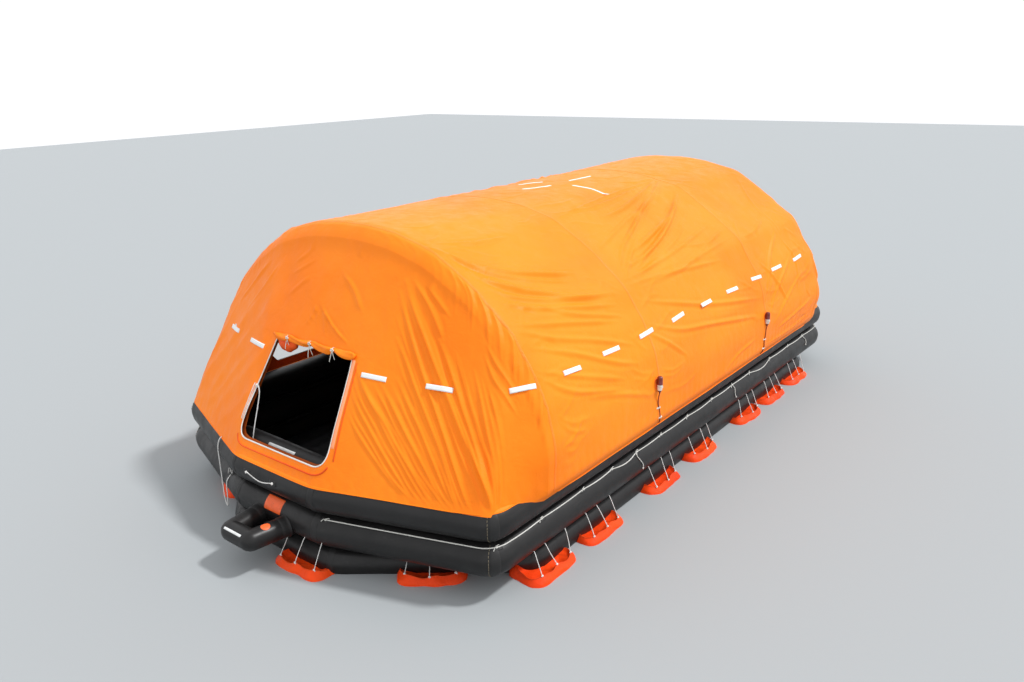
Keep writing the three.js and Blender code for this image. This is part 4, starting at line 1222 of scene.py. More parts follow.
def add_pockets():
    corner_x, corner_y, lean = 4.091, 1.518, math.atan2(1.182, 1.556)
    places = [("%s_%d" % (side, i + 1), x, sign * LOWER_PLAN["half_width"], turn)
              for side, sign, turn in (("right", -1, 0.0), ("left", 1, math.pi))
              for i, x in enumerate(SIDE_POCKETS[side])]
    for label, end, turn in (("near", -1, -math.pi / 2), ("far", 1, math.pi / 2)):
        places += [(label + "_1", end * LOWER_PLAN["half_length"], end * 0.456, turn),
                   (label + "_2", end * corner_x, end * corner_y, turn + lean),
                   (label + "_3", end * corner_x, -end * corner_y, turn - lean)]
    for seed, (label, *place) in enumerate(places):
        rim = add_pocket(label, *place, seed)
        pocket_cords(label, rim, *place, seed)


add_pockets()

# Canopy border, sills, liner and seams

SILL_R = 0.102
SEAM_WIDTH, STITCH_ROW = 0.034, 0.009


def ring_station(spacing):
    """A line round over the upper and middle tubes' centre line, with its outward directions."""
    path = rounded(octagon(PLAN, 0.0), CORNER_REACH, spacing, closed=True)
    out = np.cross(UP, unit(np.roll(path, -1, 0) - np.roll(path, 1, 0)))
    return path, out * np.sign(np.einsum("ij,ij->i", out, path))[:, None]


def tube_band(path, out, angles, radius):
    """Rows of points round the upper tube, at angles in degrees above its outermost line."""
    a = np.radians(angles + 1.2 * noise3(path * 3.1, 77)[:, None])[:, :, None]
    ring = np.cos(a) * out[:, None] + np.sin(a) * UP
    return path[:, None] + UP * UPPER_Z + np.reshape(radius, (1, -1, 1)) * ring


def add_border():
    path, out = ring_station(0.045)
    # How low the border reaches on the tube, from the raft's middle to its ends.
    low = np.interp(np.abs(path[:, 0]), [0.0, 3.30, 3.62, 3.90, 4.10, 4.22, 4.7],
                    [6.0, 8.0, 34.0, 46.0, 48.0, 44.0, 41.5])[:, None]
    angles = low + (78 - low) * np.array([0.0, 0.02, 0.12, 0.3, 0.5, 0.75, 1.0])
    rise = np.array([-0.001, 0.003, 0.004, 0.004, 0.004, 0.003, -0.001])
    uv = (np.arange(8) * 0.04, np.arange(len(path) + 1) * 0.045)
    piece("canopy_border", grid(tube_band(path, out, angles, TUBE_R + rise), wrap_rows=True, uv=uv), CANOPY)
    edge = tube_band(path, out, low, TUBE_R + 0.003)[:, 0]
    piece("border_piping", tube(edge, 0.0055, 6, closed=True, up=UP), CANOPY)


def add_sills():
    """The cushion tube over the upper tube inside each entrance, with the pale strip on it."""
    for label, end in (("near", -1), ("far", 1)):
        y = np.linspace(-0.90, 0.96, 60)
        line = np.stack([np.full_like(y, end * 4.515), -end * y, 1.352 + 0.004 * np.sin(3 * y)], 1)
        tip = np.minimum(y - y[0], y[-1] - y)
        share = np.sqrt(1 - (1 - np.clip(tip / 0.10, 0.02, 1)) ** 2)
        parts = tube(line, SILL_R, 32, SILL_R * (share - 1), up=(1, 0, 0))
        piece("sill_" + label, parts, PATCH)
        strip = [(end * 4.60, -end * w, 1.43) for w in (0.33, 0.12, -0.11)]
        piece("sill_strip_" + label, strip_on(tree_of(parts), strip, 0.034, 0.003), PALE_PATCH)


# The liner carries painted shade: its colour is darkened to stand for the shadow inside the canopy.
def add_liner():
    rows = stepped((0, 1, 16), (1, 8, 77), (8, 9, 16))
    parts = canopy_panel(rows, columns(30, 26, 14), inset=WALL + 0.008)[1]
    SHEETS.append((piece("canopy_liner_painted_shade", parts, LINER_DARKENED_AS_SHADE), parts, (10.2, 8.0), [1, 2, 3, 4]))


def add_seams():
    """Tapes over the canopy's sewn seams, with a row of stitches along each side."""
    for name, u in (("near", 2.0), ("arch_2", 4.0), ("arch_3", 5.0), ("far", 7.0)):
        path = canopy_points([(u, v) for v in np.linspace(0.7, 17.3, 140)])
        piece("seam_" + name, strip_on(CANOPY_TREE, path, SEAM_WIDTH, 0.0040, 0.02, 7), SEAM_TAPE)
        spots, normals = nearest_all(CANOPY_TREE, path)
        side = unit(np.cross(normals, unit(np.gradient(spots, axis=0)))) * STITCH_ROW
        rows = [stitch_line(CANOPY_TREE, spots + shift, 0.0046, 0.020, 0.0011) for shift in (-side, side)]
        piece("seam_stitches_" + name, merge(*rows), STITCH)


add_border()
add_sills()
add_liner()
add_seams()

# Reflective tapes

TAPE_WIDTH, TAPE_LIFT, HALF_TAPE = 0.05, 0.006, 0.15
SIDE_TAPE_Y, SIDE_TAPE_Z, DOOR_CLEARANCE = 2.392, 2.30, 0.62
SIDE_TAPE_X = [-2.89, -2.16, -1.445, -0.67, 0.06, 0.80, 1.54, 2.25, 2.99]
END_TAPES = [((-4.19, -0.79, 2.31), (-4.13, -1.07, 2.30)), ((-4.01, -1.49, 2.29), (-3.93, -1.75, 2.28)),
             ((-3.68, -2.23, 2.30), (-3.47, -2.38, 2.32)), ((-4.12, 1.14, 2.30), (-4.21, 0.79, 2.31)),
             ((-3.91, 1.84, 2.29), (-3.99, 1.56, 2.29))]
ROOF_TAPES = [((-0.60, -0.03), (-0.12, -0.15)), ((-0.2, 0.35), (0.11, 0.16)), ((0.37, -0.10), (0.94, -0.08)),
              ((0.10, -0.34), (0.15, -0.63)), ((0.15, -0.63), (0.12, -0.87))]


def taut_tape(a, b):
    """A tape on the canopy from a to b: it bends over the folds and bridges the valleys between them."""
    steps, across = 24, 5
    a, b = np.array(a, float), np.array(b, float)
    along = unit(b - a)
    shares = np.linspace(0, 1, steps)
    out = nearest_all(CANOPY_TREE, [a + (b - a) * s for s in shares])[1].sum(axis=0)
    out = unit(out - along * (out @ along))
    side = np.cross(out, along)
    base = a + (b - a) * shares[:, None, None] + side * np.linspace(-0.5, 0.5, across)[:, None] * TAPE_WIDTH
    under = np.zeros((steps, across))
    for i, j in np.ndindex(steps, across):
        hit = CANOPY_TREE.ray_cast(Vector(base[i, j] + out * 0.3), Vector(-out), 0.6)[0]
        under[i, j] = (np.array(hit) - a) @ out if hit else 0.0
    ridge = under.max(axis=1)
    top = ridge.copy()
    for i in range(steps):
        for k in range(i + 1, steps):
            top[i:k + 1] = np.maximum(top[i:k + 1], np.linspace(ridge[i], ridge[k], k + 1 - i))
    top = top[:, None] + TAPE_LIFT
    low = base + out * np.maximum(under - 0.001, top - 0.012)[:, :, None]
    rows = np.concatenate([low[:, :1], base + out * top[:, :, None], low[:, -1:]], 1)
    ends = [np.concatenate([low[[i], :1], low[[i]], low[[i], -1:]], 1) for i in (0, -1)]
    return grid(np.concatenate([ends[0], rows, ends[1]]))


def add_tapes():
    parts = []
    for side in (-1, 1):
        for x in SIDE_TAPE_X:
            if side < 0 or abs(x - SIDE_DOOR_X) >= DOOR_CLEARANCE:
                tilt = 0.012 * math.sin(7 * x)
                parts.append(taut_tape(*((x + end * HALF_TAPE, side * SIDE_TAPE_Y, SIDE_TAPE_Z + end * tilt)
                                         for end in (-1, 1))))
    for turn in ((1, 1, 1), (-1, -1, 1)):
        parts += [taut_tape(np.multiply(a, turn), np.multiply(b, turn)) for a, b in END_TAPES]
    for a, b in ROOF_TAPES:
        a, b = (np.array((*end, BORDER_Z + PROFILE[RIDGE][1])) for end in (a, b))
        parts.append(strip_on(CANOPY_TREE, [a, (a + b) / 2, b], 0.034, 0.0045, 0.01, 7))
    piece("reflective_tapes", merge(*parts), TAPE)


def add_vent_patch():
    spot, normal = nearest(CANOPY_TREE, canopy_points([(0.59, 12.23)])[0])
    along = unit(np.cross(normal, UP))
    a = np.linspace(0, 2 * np.pi, 28, endpoint=False)[:, None]
    round_ = np.cos(a) * along + np.sin(a) * np.cross(along, normal)
    disc = [spot + normal * h + r * round_
            for r, h in ((0.030, 0.001), (0.026, 0.004), (0.014, 0.004), (0.010, 0.008), (0.001, 0.009))]
    rim = sweep(spot + normal * 0.003 + 0.034 * round_, 0.006, 8, closed=True)
    disc = grid(np.array(disc), wrap_columns=True, uv=(np.arange(29) / 28, np.arange(6) / 5))
    piece("vent_patch", merge(rim, disc), PALE_PATCH)


add_tapes()
add_vent_patch()

# Doors

END_LEAN = 0.5689


def near_spot(y, z):
    return np.array([-(END_BORDER[0] - END_LEAN * (z - BORDER_Z)), y, z])


def far_spot(y, z):
    return near_spot(y, z) * (-1, -1, 1)


def side_spot(x, z):
    y = np.interp(z - BORDER_Z, [p[1] for p in PROFILE], [p[0] for p in PROFILE])
    return np.array([SIDE_DOOR_X * 2 - x, float(y), z])


def frame_line(spot, outline, offset=0.0):
    """The door's outline, moved this far out of the opening, laid on the canopy."""
    tangent = unit(np.gradient(outline, axis=0))
    moved = outline + np.stack([tangent[:, 1], -tangent[:, 0]], 1) * offset
    return nearest_all(CANOPY_TREE, [spot(*p) for p in moved])


def binding(spot, outline):
    """A tape folded over the edge of the opening."""
    width, lift = 0.010, 0.003
    edge, normal = frame_line(spot, outline)
    mid, mid_normal = frame_line(spot, outline, width * 0.55)
    outer, outer_normal = frame_line(spot, outline, width)
    away = unit(outer - edge)
    return grid(np.stack([outer + outer_normal * SUNK, outer + outer_normal * lift,
                          mid + mid_normal * (lift + 0.001), edge + normal * (lift + 0.0008),
                          edge - away * 0.0035 + normal * 0.001, edge - away * 0.003 - normal * 0.003,
                          edge - normal * 0.0055, mid - mid_normal * 0.006,
                          outer - outer_normal * 0.0045], 1))


def strap_tie(at, out, drop, sway):
    """A tie of narrow tape: a knot and two hanging ends."""
    along = unit(np.cross(UP, out))
    parts = []
    for side, length in ((-1, drop), (1, drop * 0.72)):
        path = np.array([at - UP * (length * k) + along * (side * 0.012 + side * 0.02 * k + sway * k * k)
                         + out * (0.006 + 0.012 * math.sin(2.6 * k + side)) for k in np.linspace(0, 1, 9)])
        face = np.stack([path - along * 0.005, path + along * 0.005], 1)
        parts += [grid(face), grid(face[:, ::-1] - out * 0.0018)]
    knot = [at - along * 0.02 + out * 0.004, at + out * 0.022 - UP * 0.008, at + along * 0.02,
            at + out * 0.016 + UP * 0.014, at - along * 0.014 - UP * 0.012]
    return parts + [sweep(curve_through(knot, 0.005), 0.0052, 8)]


FLAP_POINTS, FLAP_SIDES, FLAP_R = 90, 30, 0.037


def flap_bunch(spot, z, tangent_out, start, stop, drop, fat):
    """The slack end of the flap's cloth, hanging in a bunch."""
    t = np.linspace(0, 1, 26)
    spots, normals = nearest_all(CANOPY_TREE, [spot(start + (stop - start) * k, z + 0.01) for k in t])
    path = spots + normals * 0.012 - np.outer(0.02 + drop * np.sin(np.pi * t) ** 0.8, UP)
    bag = tube(path, fat, 22, 0.012 + fat * np.sin(np.pi * t) ** 0.7 - fat, up=tangent_out, squash=0.8)
    crumple = 0.012 * noise3(bag[0] * 16, 95) + 0.006 * noise3(bag[0] * 38, 96)
    return bag[0] + unit(bag[0] - path.mean(0)) * crumple[:, None], *bag[1:]


def rolled_flap(label, spot, tangent_out, middle, half, height, ties, seed, bunch):
    """The spare flap, rolled up and tied over its door."""
    ys = middle + np.linspace(-half, half, FLAP_POINTS)
    z = BORDER_Z + height
    spots, normals = nearest_all(CANOPY_TREE, [spot(y, z) for y in ys])
    marks = [middle - half, *ties, middle + half]
    droop = sum(0.022 * np.sin(np.pi * np.clip((ys - a) / (b - a), 0, 1)) for a, b in zip(marks, marks[1:]))
    centre = spots + normals * FLAP_R * 0.72 - np.outer(droop, UP)
    pinch = 1 - sum(0.32 * np.exp(-((ys - tie) / 0.035) ** 2) for tie in ties)
    ends = 1 - 0.35 * smoothstep((np.abs(ys - middle) - half + 0.05) / 0.05)
    thick = FLAP_R * pinch * (1 + 0.08 * np.sin(ys * 13 + seed)) * ends
    points, faces, uv = tube(centre, FLAP_R, FLAP_SIDES, thick - FLAP_R, up=tangent_out, squash=0.82)
    core = np.repeat(centre, FLAP_SIDES, axis=0)
    body = points[:len(core)]
    swirl = np.tile(np.arange(FLAP_SIDES) / FLAP_SIDES * 2 * np.pi, FLAP_POINTS)
    lift = 0.012 * noise3(body * 11 + seed, 90) + 0.0060 * np.sin(3 * swirl + ys.repeat(FLAP_SIDES) * 14)
    points[:len(core)] = body + unit(body - core) * lift[:, None]
    if bunch:
        piece("door_flap_%s_bunch" % label, flap_bunch(spot, z, tangent_out, *bunch), CANOPY_TRIM)
    piece("door_flap_" + label, (points, faces, uv), CANOPY, ["door_roll_" + label])
    local = np.random.default_rng(seed)
    turn = np.linspace(0, 2 * np.pi, 20, endpoint=False)[:, None]
    tied = []
    for tie in ties:
        k = int(np.abs(ys - tie).argmin())
        normal = normals[k]
        along = unit(centre[k + 1] - centre[k - 1])
        over = unit(np.cross(along, normal))
        ring = centre[k] + (thick[k] * 1.06 + 0.001) * (np.cos(turn) * normal + np.sin(turn) * over)
        loop = np.stack([ring - along * 0.006, ring + along * 0.006], 1)
        tied.append(grid(loop, wrap_rows=True, uv=(np.arange(3) * 0.009, np.arange(21) * 0.012)))
        front = centre[k] + normal * thick[k] * 1.02 - UP * thick[k] * 0.5
        tied += strap_tie(front, normal, local.uniform(0.13, 0.17), local.uniform(-0.02, 0.02))
    piece("door_flap_%s_ties" % label, merge(*tied), WEBBING)


def add_door(label, spot, outline, tangent_out, height, half, ties, seed, bunch=None):
    """A door's binding, zip, facing, piping and stitches, and its rolled flap."""
    def strip(line, width, lift=0.007, across=7):
        return strip_on(CANOPY_TREE, line, width, lift, 0.02, across)

    def part_of(line, low, high):
        return line[(line[:, 1] >= low) & (line[:, 1] <= high)]

    top, bottom = outline[:, 1].max(), outline[:, 1].min()
    faced, zipped = np.split(outline, [len(outline) // 2])
    piece("door_binding_" + label, binding(spot, outline), BINDING)
    zip_side = part_of(zipped, bottom + 0.13, top - 0.44)
    zips = [strip(frame_line(spot, zip_side, offset)[0][1:-1], 0.010, 0.005, 5) for offset in (0.028, 0.054)]
    piece("door_zip_" + label, merge(*zips), BINDING)
    wide, _ = frame_line(spot, part_of(faced, bottom + 0.18, top - 0.01), 0.034)
    piece("door_facing_" + label, strip(wide, 0.040, 0.005), FACING)
    line, _ = frame_line(spot, part_of(faced, bottom + 0.2, top - 0.02), 0.082)
    straight = np.vstack([line, line[-1] + (line[-1] - line[-4]) * 2.2])
    low, _ = frame_line(spot, outline[(np.abs(outline[:, 1] - bottom) < 0.12)], 0.075)
    piece("door_piping_" + label, merge(strip(straight, 0.014), strip(low[3:-4], 0.018)), CANOPY_TRIM)
    seam_line, _ = frame_line(spot, outline, 0.030)
    piece("door_stitches_" + label, stitch_line(CANOPY_TREE, seam_line, 0.0016, 0.012, 0.0010), STITCH)
    rolled_flap(label, spot, tangent_out, outline[:, 0].mean(), half, height, ties, seed, bunch)


add_door("near", near_spot, NEAR_OUTLINE, (1, 0, 0), 1.175, 0.640, [-0.354, -0.01, 0.36], 3,
         (0.585, 0.250, 0.085, 0.062))
add_door("far", far_spot, NEAR_OUTLINE, (1, 0, 0), 1.175, 0.640, [-0.38, 0.02, 0.34], 4,
         (0.570, 0.280, 0.06, 0.05))
add_door("side", side_spot, SIDE_OUTLINE, (0, 1, 0), 1.125, 0.460,
         [SIDE_DOOR_X - 0.25, SIDE_DOOR_X + 0.25], 5)

# Lifelines, pads, knots, labels and glue marks

ROPE_R = 0.0060


def side_path(sign):
    """The lifeline's way in plan along one side, with outward directions; the left one starts at the
    corner."""
    path, out = ring_station(0.018)
    keep = (path[:, 1] * sign > 0.72) | ((np.abs(path[:, 1]) > 0.70) & (path[:, 1] * sign > 0))
    if sign > 0:
        keep &= path[:, 0] > -PLAN["corner_x"]
    path, out = path[keep], out[keep]
    order = np.argsort(np.arctan2(path[:, 1] * sign, path[:, 0]))[::-1]
    return path[order], out[order]


def pad_outline(length, width, corner):
    """A rectangle with round corners, as evenly spaced points; corner is a share of the short half."""
    a, b = length / 2, width / 2
    r = corner * min(a, b)
    turn = np.linspace(0, np.pi / 2, 9)
    arc = np.stack([np.cos(turn), np.sin(turn)], 1) * r
    quarters = [((a - r, b - r) + arc[::step]) * (sx, sy)
                for sx, sy, step in ((1, 1, 1), (-1, 1, -1), (-1, -1, 1), (1, -1, -1))]
    return evenly(np.vstack(quarters + [quarters[0][:1]]), 44)


def pad_on(tree, centre, along, width, length, lift=0.003, corner=0.35):
    """A thin pad with round corners on a surface."""
    spot, normal = nearest(tree, centre)
    along = unit(np.asarray(along) - np.dot(along, normal) * normal)
    side = np.cross(normal, along)
    outline = pad_outline(length, width, corner)
    rings = []
    for shrink, height in ((1.0, -0.0008), (0.985, lift), (0.80, lift + 0.0005), (0.54, lift + 0.0006),
                           (0.27, lift + 0.0006), (0.02, lift + 0.0006)):
        on, out = nearest_all(tree, [spot + along * u + side * v for u, v in outline * shrink])
        rings.append(on + out * height)
    uv = (np.arange(len(outline) + 1) * 0.008, np.arange(len(rings) + 1) * 0.02)
    return grid(np.array(rings), wrap_columns=True, uv=uv)


def rope_knot(centre, along, out, radius):
    """A round knot of crossing turns."""
    along, out = unit(along), unit(out)
    t = np.linspace(0, 2 * np.pi, 34)
    wave, big = (1 + 0.28 * np.cos(3 * t)) * 0.62, radius * 2.1
    path = (np.outer(np.cos(2 * t) * wave, along) + np.outer(np.sin(2 * t) * wave, np.cross(along, out))
            + np.outer(np.sin(3 * t) * 0.42, out))
    return sweep(centre + path * big, radius, 6)


def add_lifeline(label, sign):
    path, out = side_path(sign)
    local = np.random.default_rng(20 + sign)
    steps = run_along(path)
    along_side = steps[np.abs(path[:, 0]) < PLAN["corner_x"] - 0.02]
    marks = [0.0, along_side[0]] if sign < 0 else [0.0]
    while marks[-1] < along_side[-1] - 0.75:
        marks.append(marks[-1] + local.uniform(0.50, 0.74))
    marks += [along_side[-1], steps[-1]]
    angle, reach = np.full(len(path), 54.0), np.full(len(path), TUBE_R + ROPE_R + 0.0008)
    for a, b in zip(marks[:-1], marks[1:]):
        inside = (steps >= a) & (steps <= b)
        swell = np.sin(np.pi * (steps[inside] - a) / (b - a))
        dip = local.uniform(10.0, 15.0) if local.random() < 0.22 else local.uniform(0.6, 4.0)
        angle[inside] -= (0.8 if b - a > 1.0 else dip) * swell
        reach[inside] += 0.002 * swell
    a = np.radians(angle)
    line = path + out * (reach * np.cos(a))[:, None] + np.outer(reach * np.sin(a) + MIDDLE_Z, UP)
    parts = [sweep(line, ROPE_R, 8)]
    pads, loops = [], []
    tree = TUBE_TREES["middle_tube"]
    for k, mark in enumerate(marks):
        i = int(np.abs(steps - mark).argmin())
        j = min(max(i, 1), len(path) - 2)
        along = unit(line[j + 1] - line[j - 1])
        pads.append(pad_on(tree, line[i] - out[i] * 0.004, along, 0.070, 0.120))
        on, normal = nearest(tree, line[i])
        parts.append(rope_knot(line[i] + normal * 0.003, along, normal, 0.0058))
        loop_low = math.radians(54 - local.uniform(10, 16))
        loops.append(strip_on(tree, [on - UP * 0.030, on, on + UP * 0.018], 0.014, 0.0035, 0.008, 3))
        for side in (-1, 1):
            stray = on + along * side * local.uniform(0.03, 0.06) + UP * side * local.uniform(0.015, 0.045)
            tip, tip_out = nearest(tree, stray)
            half_way, _ = nearest(tree, (on + stray) / 2 + UP * 0.012)
            end = [line[i] + normal * 0.004, half_way + normal * 0.016, tip + tip_out * 0.008]
            parts.append(sweep(curve_through(end, 0.008), 0.0042, 8))
        if 1 < k < len(marks) - 2 and k % 4 == 1:
            t = np.linspace(0, 1, 12)
            turn = loop_low - t * local.uniform(0.10, 0.17) / TUBE_R
            round_ = np.outer(np.cos(turn), out[i]) * (TUBE_R + 0.007)
            tail = path[i] + round_ + np.outer(np.sin(t * 3 + k), along) * 0.035
            tail[:, 2] = MIDDLE_Z + np.sin(turn) * (TUBE_R + 0.007)
            tail = np.vstack([line[i] + normal * 0.004, tail])
            parts += [sweep(curve_through(tail, 0.012), 0.0048, 8), rope_knot(tail[-1], UP, out[i], 0.0048)]
    piece("lifeline_rope_" + label, merge(*parts), ROPE, ["lifeline_" + label])
    piece("lifeline_pads_" + label, merge(*pads), PATCH)
    piece("lifeline_loops_" + label, merge(*loops), WEBBING)


def line_ends():
    """Pads and knots that hold the free lines' ends."""
    upper, middle = TUBE_TREES["upper_tube"], TUBE_TREES["middle_tube"]
    grips = (GRAB_LINE[0], GRAB_LINE[-1])
    end = np.array(CORNER_LINE[-1])
    pads = [pad_on(upper, p, (0, 1, 0), 0.06, 0.11) for p in grips]
    pads += [pad_on(middle, end, (0.3, 1, 0), 0.07, 0.11),
             pad_on(upper, DOOR_LINE[-1], (0, 1, 0), 0.06, 0.09)]
    piece("line_pads", merge(*pads), PATCH)
    knots = [rope_knot(np.array(p) - (0.004, 0, 0), (0, 1, 0), (-1, 0, 0), 0.006) for p in grips]
    knots.append(rope_knot(end + (-0.012, 0, 0.002), UP, (-1, 0.3, 0), 0.006))
    for t in range(3):
        tail = [end, end + (-0.03, 0.02 * (t - 1), 0.02 + 0.02 * t),
                end + (-0.035, 0.045 * (t - 1), 0.05 - 0.03 * t)]
        knots.append(sweep(curve_through(tail, 0.008), 0.0035, 8))
    knots.append(rope_knot(np.array(DOOR_LINE[0]) + (-0.004, 0, 0), (0, 1, 0), (-1, 0, 0), 0.0085))
    piece("line_knots", merge(*knots), THIN_ROPE)


def add_labels():
    """Blank labels over the ramps, and a blank disc and a strip on each ramp."""
    ends = (("near", "", -1), ("far", "_far", 1))
    for _, suffix, end in ends:
        label = pad_on(TUBE_TREES["middle_tube"], (end * 4.835, -end * 0.015, 0.915), (0, 1, 0), 0.175, 0.270,
                       0.002, 0.12)
        piece("orange_label" + suffix, label, ORANGE_PATCH)
    for label, _, end in ends:
        tree = RAMP_TREES[label]
        disc = pad_on(tree, (end * 5.09, end * 0.198, 0.86), (1, 0, 0), 0.098, 0.098, 0.003, 1.0)
        piece("ramp_disc_" + label, disc, ORANGE_PATCH)
        strip = [(end * (RAMP["reach"] + 0.066), -end * y, 0.80) for y in (0.185, 0.04, -0.105)]
        piece("ramp_strip_" + label, strip_on(tree, strip, 0.030, 0.002), PALE_PATCH)


def corner_glue():
    """Short glue marks in a row over the tubes' near and far corners."""
    parts = []
    for name in ("upper_tube", "middle_tube"):
        for corner in octagon(PLAN, TUBES[name][1])[[2, 3, 6, 7]]:
            out = unit(corner * (1, 1, 0))
            run = np.cross(UP, out)
            for a in np.radians(np.arange(-66, 67, 11)):
                on, normal = nearest(TUBE_TREES[name], corner + 0.19 * (out * math.cos(a) + UP * math.sin(a)))
                over = np.cross(run, normal) * 0.011
                path = [on + normal * 0.0032 - over, on + normal * 0.005, on + normal * 0.0032 + over]
                parts.append(sweep(path, 0.0026, 6))
    piece("corner_glue", merge(*parts), GLUE)


add_lifeline("right", -1)
add_lifeline("left", 1)
line_ends()
add_labels()
corner_glue()

# Lamps, ladder and gas cylinders

LAMP_R = 0.032
# Radius and height above the canopy's border.
LAMP_CAP = [(0.001, 0.552), (0.012, 0.554), (0.024, 0.549), (LAMP_R - 0.001, 0.538), (LAMP_R, 0.520),
            (LAMP_R, 0.470), (LAMP_R + 0.0015, 0.468), (LAMP_R + 0.0015, 0.458), (LAMP_R - 0.001, 0.456),
            (0.020, 0.455)]
LAMP_LENS = [(0.020, 0.457), (LAMP_R - 0.003, 0.455), (LAMP_R - 0.002, 0.448), (LAMP_R - 0.004, 0.400),
             (LAMP_R - 0.008, 0.388), (0.014, 0.384)]
LAMP_FOOT = [(0.014, 0.386), (0.018, 0.384), (0.018, 0.372), (0.012, 0.366), (0.007, 0.350), (0.006, 0.340)]


def lathe(profile, centre, axis, side, turns=36):
    """A turned shape: profile holds (radius, distance along the axis)."""
    axis, side = unit(axis), unit(side)
    a = np.linspace(0, 2 * np.pi, turns, endpoint=False)[:, None]
    round_ = np.cos(a) * side + np.sin(a) * np.cross(axis, side)
    rings = np.array([centre + axis * h + r * round_ for r, h in profile])
    uv = (np.arange(turns + 1) / turns * 0.2, np.arange(len(rings) + 1) * 0.01)
    return grid(rings, wrap_columns=True, uv=uv)


def add_lamp(label, x, lean, sign):
    """A lamp with its holder on the canopy, its lead down to the tube, its belt and the lead's tapes."""
    base = np.array([x, sign * (PROFILE[1][0] + GAP + LAMP_R), BORDER_Z])
    cap, lens, foot = (lathe(profile, base, UP, (0, sign, 0)) for profile in (LAMP_CAP, LAMP_LENS, LAMP_FOOT))
    piece("lamp_cap_" + label, cap, LAMP_RED, ["lamp_" + label])
    piece("lamp_lens_" + label, lens, LAMP_WHITE)
    piece("lamp_foot_" + label, foot, LAMP_RED)
    lead = [base + (0, 0, 0.345), base + (0.004, -sign * 0.012, 0.30)]
    for h in (0.22, 0.12, 0.02, -0.06, -0.12):
        spot = base + (0.006 * math.sin(h * 23 + x) + lean * (0.3 - h), 0, h)
        on, normal = nearest(CANOPY_TREE, spot)
        lead.append(on + normal * 0.007)
    piece("lamp_lead_" + label, sweep(curve_through(lead, 0.02), 0.0052, 10), LEAD)
    ties = []
    for h in (0.150, 0.012):
        on, _ = nearest(CANOPY_TREE, base + (lean * (0.3 - h), 0, h))
        ties.append(strip_on(CANOPY_TREE, [on - (0.035, 0, 0), on, on + (0.035, 0, 0)], 0.022, 0.0125, 0.01))
    belt = np.array([base + (LAMP_R + 0.004) * np.array([math.cos(a), sign * math.sin(a), 0]) + UP * 0.430
                     for a in np.linspace(-0.35, math.pi + 0.35, 22)])
    ties.append(grid(np.stack([belt - UP * 0.009, belt + UP * 0.009], 1)))
    piece("lamp_ties_" + label, merge(*ties), WEBBING)
    holder = pad_on(CANOPY_TREE, base + UP * 0.462, UP, 0.085, 0.120, 0.004, 0.4)
    piece("lamp_holder_" + label, holder, CANOPY_TRIM)


def webbing_strap(path, out, width, thickness):
    """A flat strap with soft edges along a path; out is the way its face looks."""
    side = unit(np.cross(unit(np.gradient(path, axis=0)), out))
    section = ((-0.5, 0), (-0.46, 0.5), (-0.2, 0.55), (0.2, 0.55), (0.46, 0.5), (0.5, 0), (0.46, -0.5),
               (0.0, -0.5), (-0.46, -0.5))
    rows = np.stack([path + side * across * width + out * (up * thickness) for across, up in section], 1)
    return grid(rows, wrap_columns=True, uv=(np.arange(10) * 0.2 * width, run_along(path)))


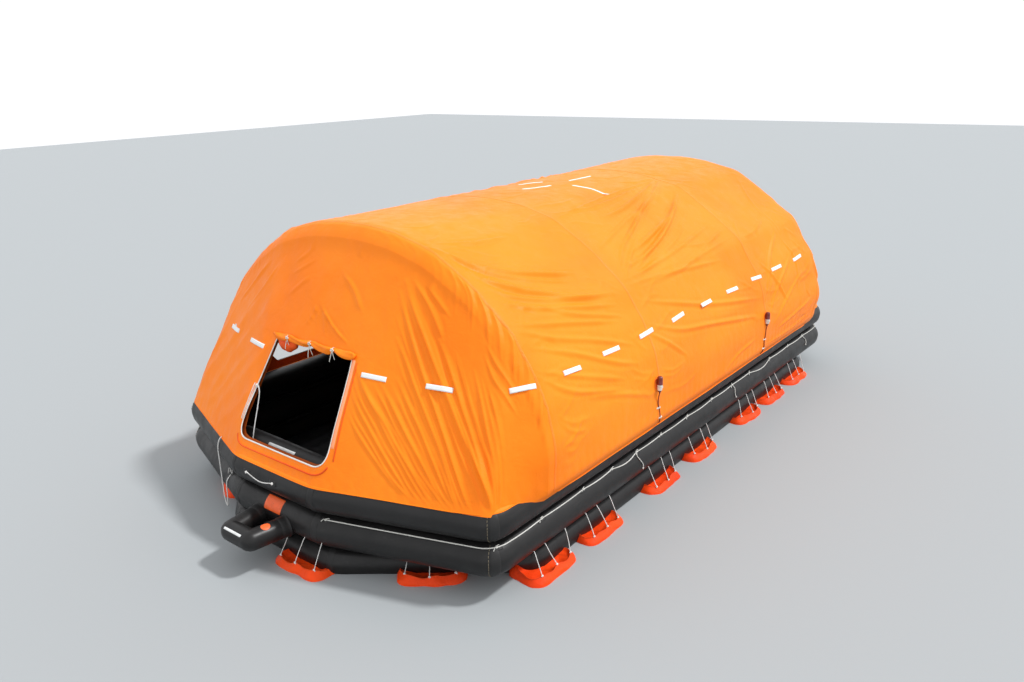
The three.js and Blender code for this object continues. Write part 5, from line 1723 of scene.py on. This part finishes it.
def add_ladder():
    """Two straps and three double rungs under the left door, with a box of stitches at each crossing."""
    y, half, thickness = PLAN["half_width"] + TUBE_R + GAP + 0.006, 0.165, 0.005
    out = np.array([0, 1.0, 0])
    parts, stitches = [], []
    for side in (-1, 1):
        t = np.linspace(0, 1, 60)
        z = 1.300 - t * 1.235
        bulge = -(np.maximum(z - UPPER_Z, 0) ** 2) * 2.6
        path = np.stack([SIDE_DOOR_X + side * (half + 0.006 * np.sin(5 * t + side)),
                         y + 0.004 * np.sin(9 * t) + 0.004 + bulge, z], 1)
        parts.append(webbing_strap(path, out, 0.050, thickness))
    for z in (0.130, 0.400, 0.670):
        for lift, wide in ((0.008, 0.045), (0.0125, 0.038)):
            t = np.linspace(-1, 1, 30)
            path = np.stack([SIDE_DOOR_X + 0.188 * t, y + lift + 0.002 * np.cos(3 * t),
                             z - 0.010 * (1 - t ** 2)], 1)
            parts.append(webbing_strap(path, out, wide, thickness))
        for side in (-1, 1):
            for dx, dz in ((-0.016, 0), (0.016, 0), (0, 0.013), (0, -0.013)):
                centre = np.array([SIDE_DOOR_X + side * half + dx, y + 0.0168, z + dz])
                run = np.array([0, 0, 0.014]) if dx else np.array([0.016, 0, 0])
                stitches.append(sweep(np.linspace(centre - run, centre + run, 5), 0.0012, 6))
    piece("ladder_webbing", merge(*parts), WEBBING, ["boarding_ladder"])
    piece("ladder_stitches", merge(*stitches), STITCH)


# Radius and distance along the axis.
CYLINDER = [(0.001, -0.618), (0.040, -0.617), (0.066, -0.611), (0.078, -0.625), (0.084, -0.620),
            (0.098, -0.585), (0.108, -0.565), (0.1115, -0.540),
            *((0.112, h) for h in np.linspace(-0.50, 0.50, 30)),
            (0.1118, 0.540), (0.109, 0.560), (0.100, 0.585), (0.082, 0.608), (0.060, 0.622), (0.044, 0.630),
            (0.037, 0.640), (0.034, 0.652)]
VALVE = [(0.034, 0.650), (0.037, 0.652), (0.037, 0.662), (0.030, 0.664), (0.026, 0.668), (0.026, 0.678),
         (0.018, 0.682), (0.001, 0.684)]
OUTLET = [(0.001, -0.034), (0.011, -0.033), (0.012, -0.030), (0.012, 0.030), (0.014, 0.031), (0.014, 0.044),
          (0.001, 0.045)]
BELT_R = 0.1145


def add_cylinders():
    for i, y in enumerate((-0.900, 0.900)):
        centre = np.array([0, y, 0.2477])
        body, valve = (lathe(profile, centre, (1, 0, 0), (0, 1, 0), turns)
                       for profile, turns in ((CYLINDER, 56), (VALVE, 36)))
        outlet = lathe(OUTLET, centre + (0.668, 0, 0), (0, 1, 0), UP, 20)
        piece("cylinder_body_%d" % (i + 1), body, PAINT, ["gas_cylinder_%d" % (i + 1)])
        piece("cylinder_valve_%d" % (i + 1), merge(valve, outlet), BRASS)
        belts = []
        for x in (-0.36, 0.36):
            low = [(x, -BELT_R * math.cos(t), -BELT_R * math.sin(t))
                   for t in np.linspace(0.12 * math.pi, 0.88 * math.pi, 30)]
            path = centre + np.array([(x, -0.118, 0.10), *low, (x, 0.118, 0.10)])
            belts.append(webbing_strap(path, unit(path - centre - (x, 0, 0)), 0.050, 0.003))
        piece("cylinder_belts_%d" % (i + 1), merge(*belts), WEBBING)


for side_label, sign in (("right", -1), ("left", 1)):
    add_lamp(side_label + "_1", -1.482, 0.32, sign)
    add_lamp(side_label + "_2", 1.559, 0.04, sign)
add_ladder()
add_cylinders()
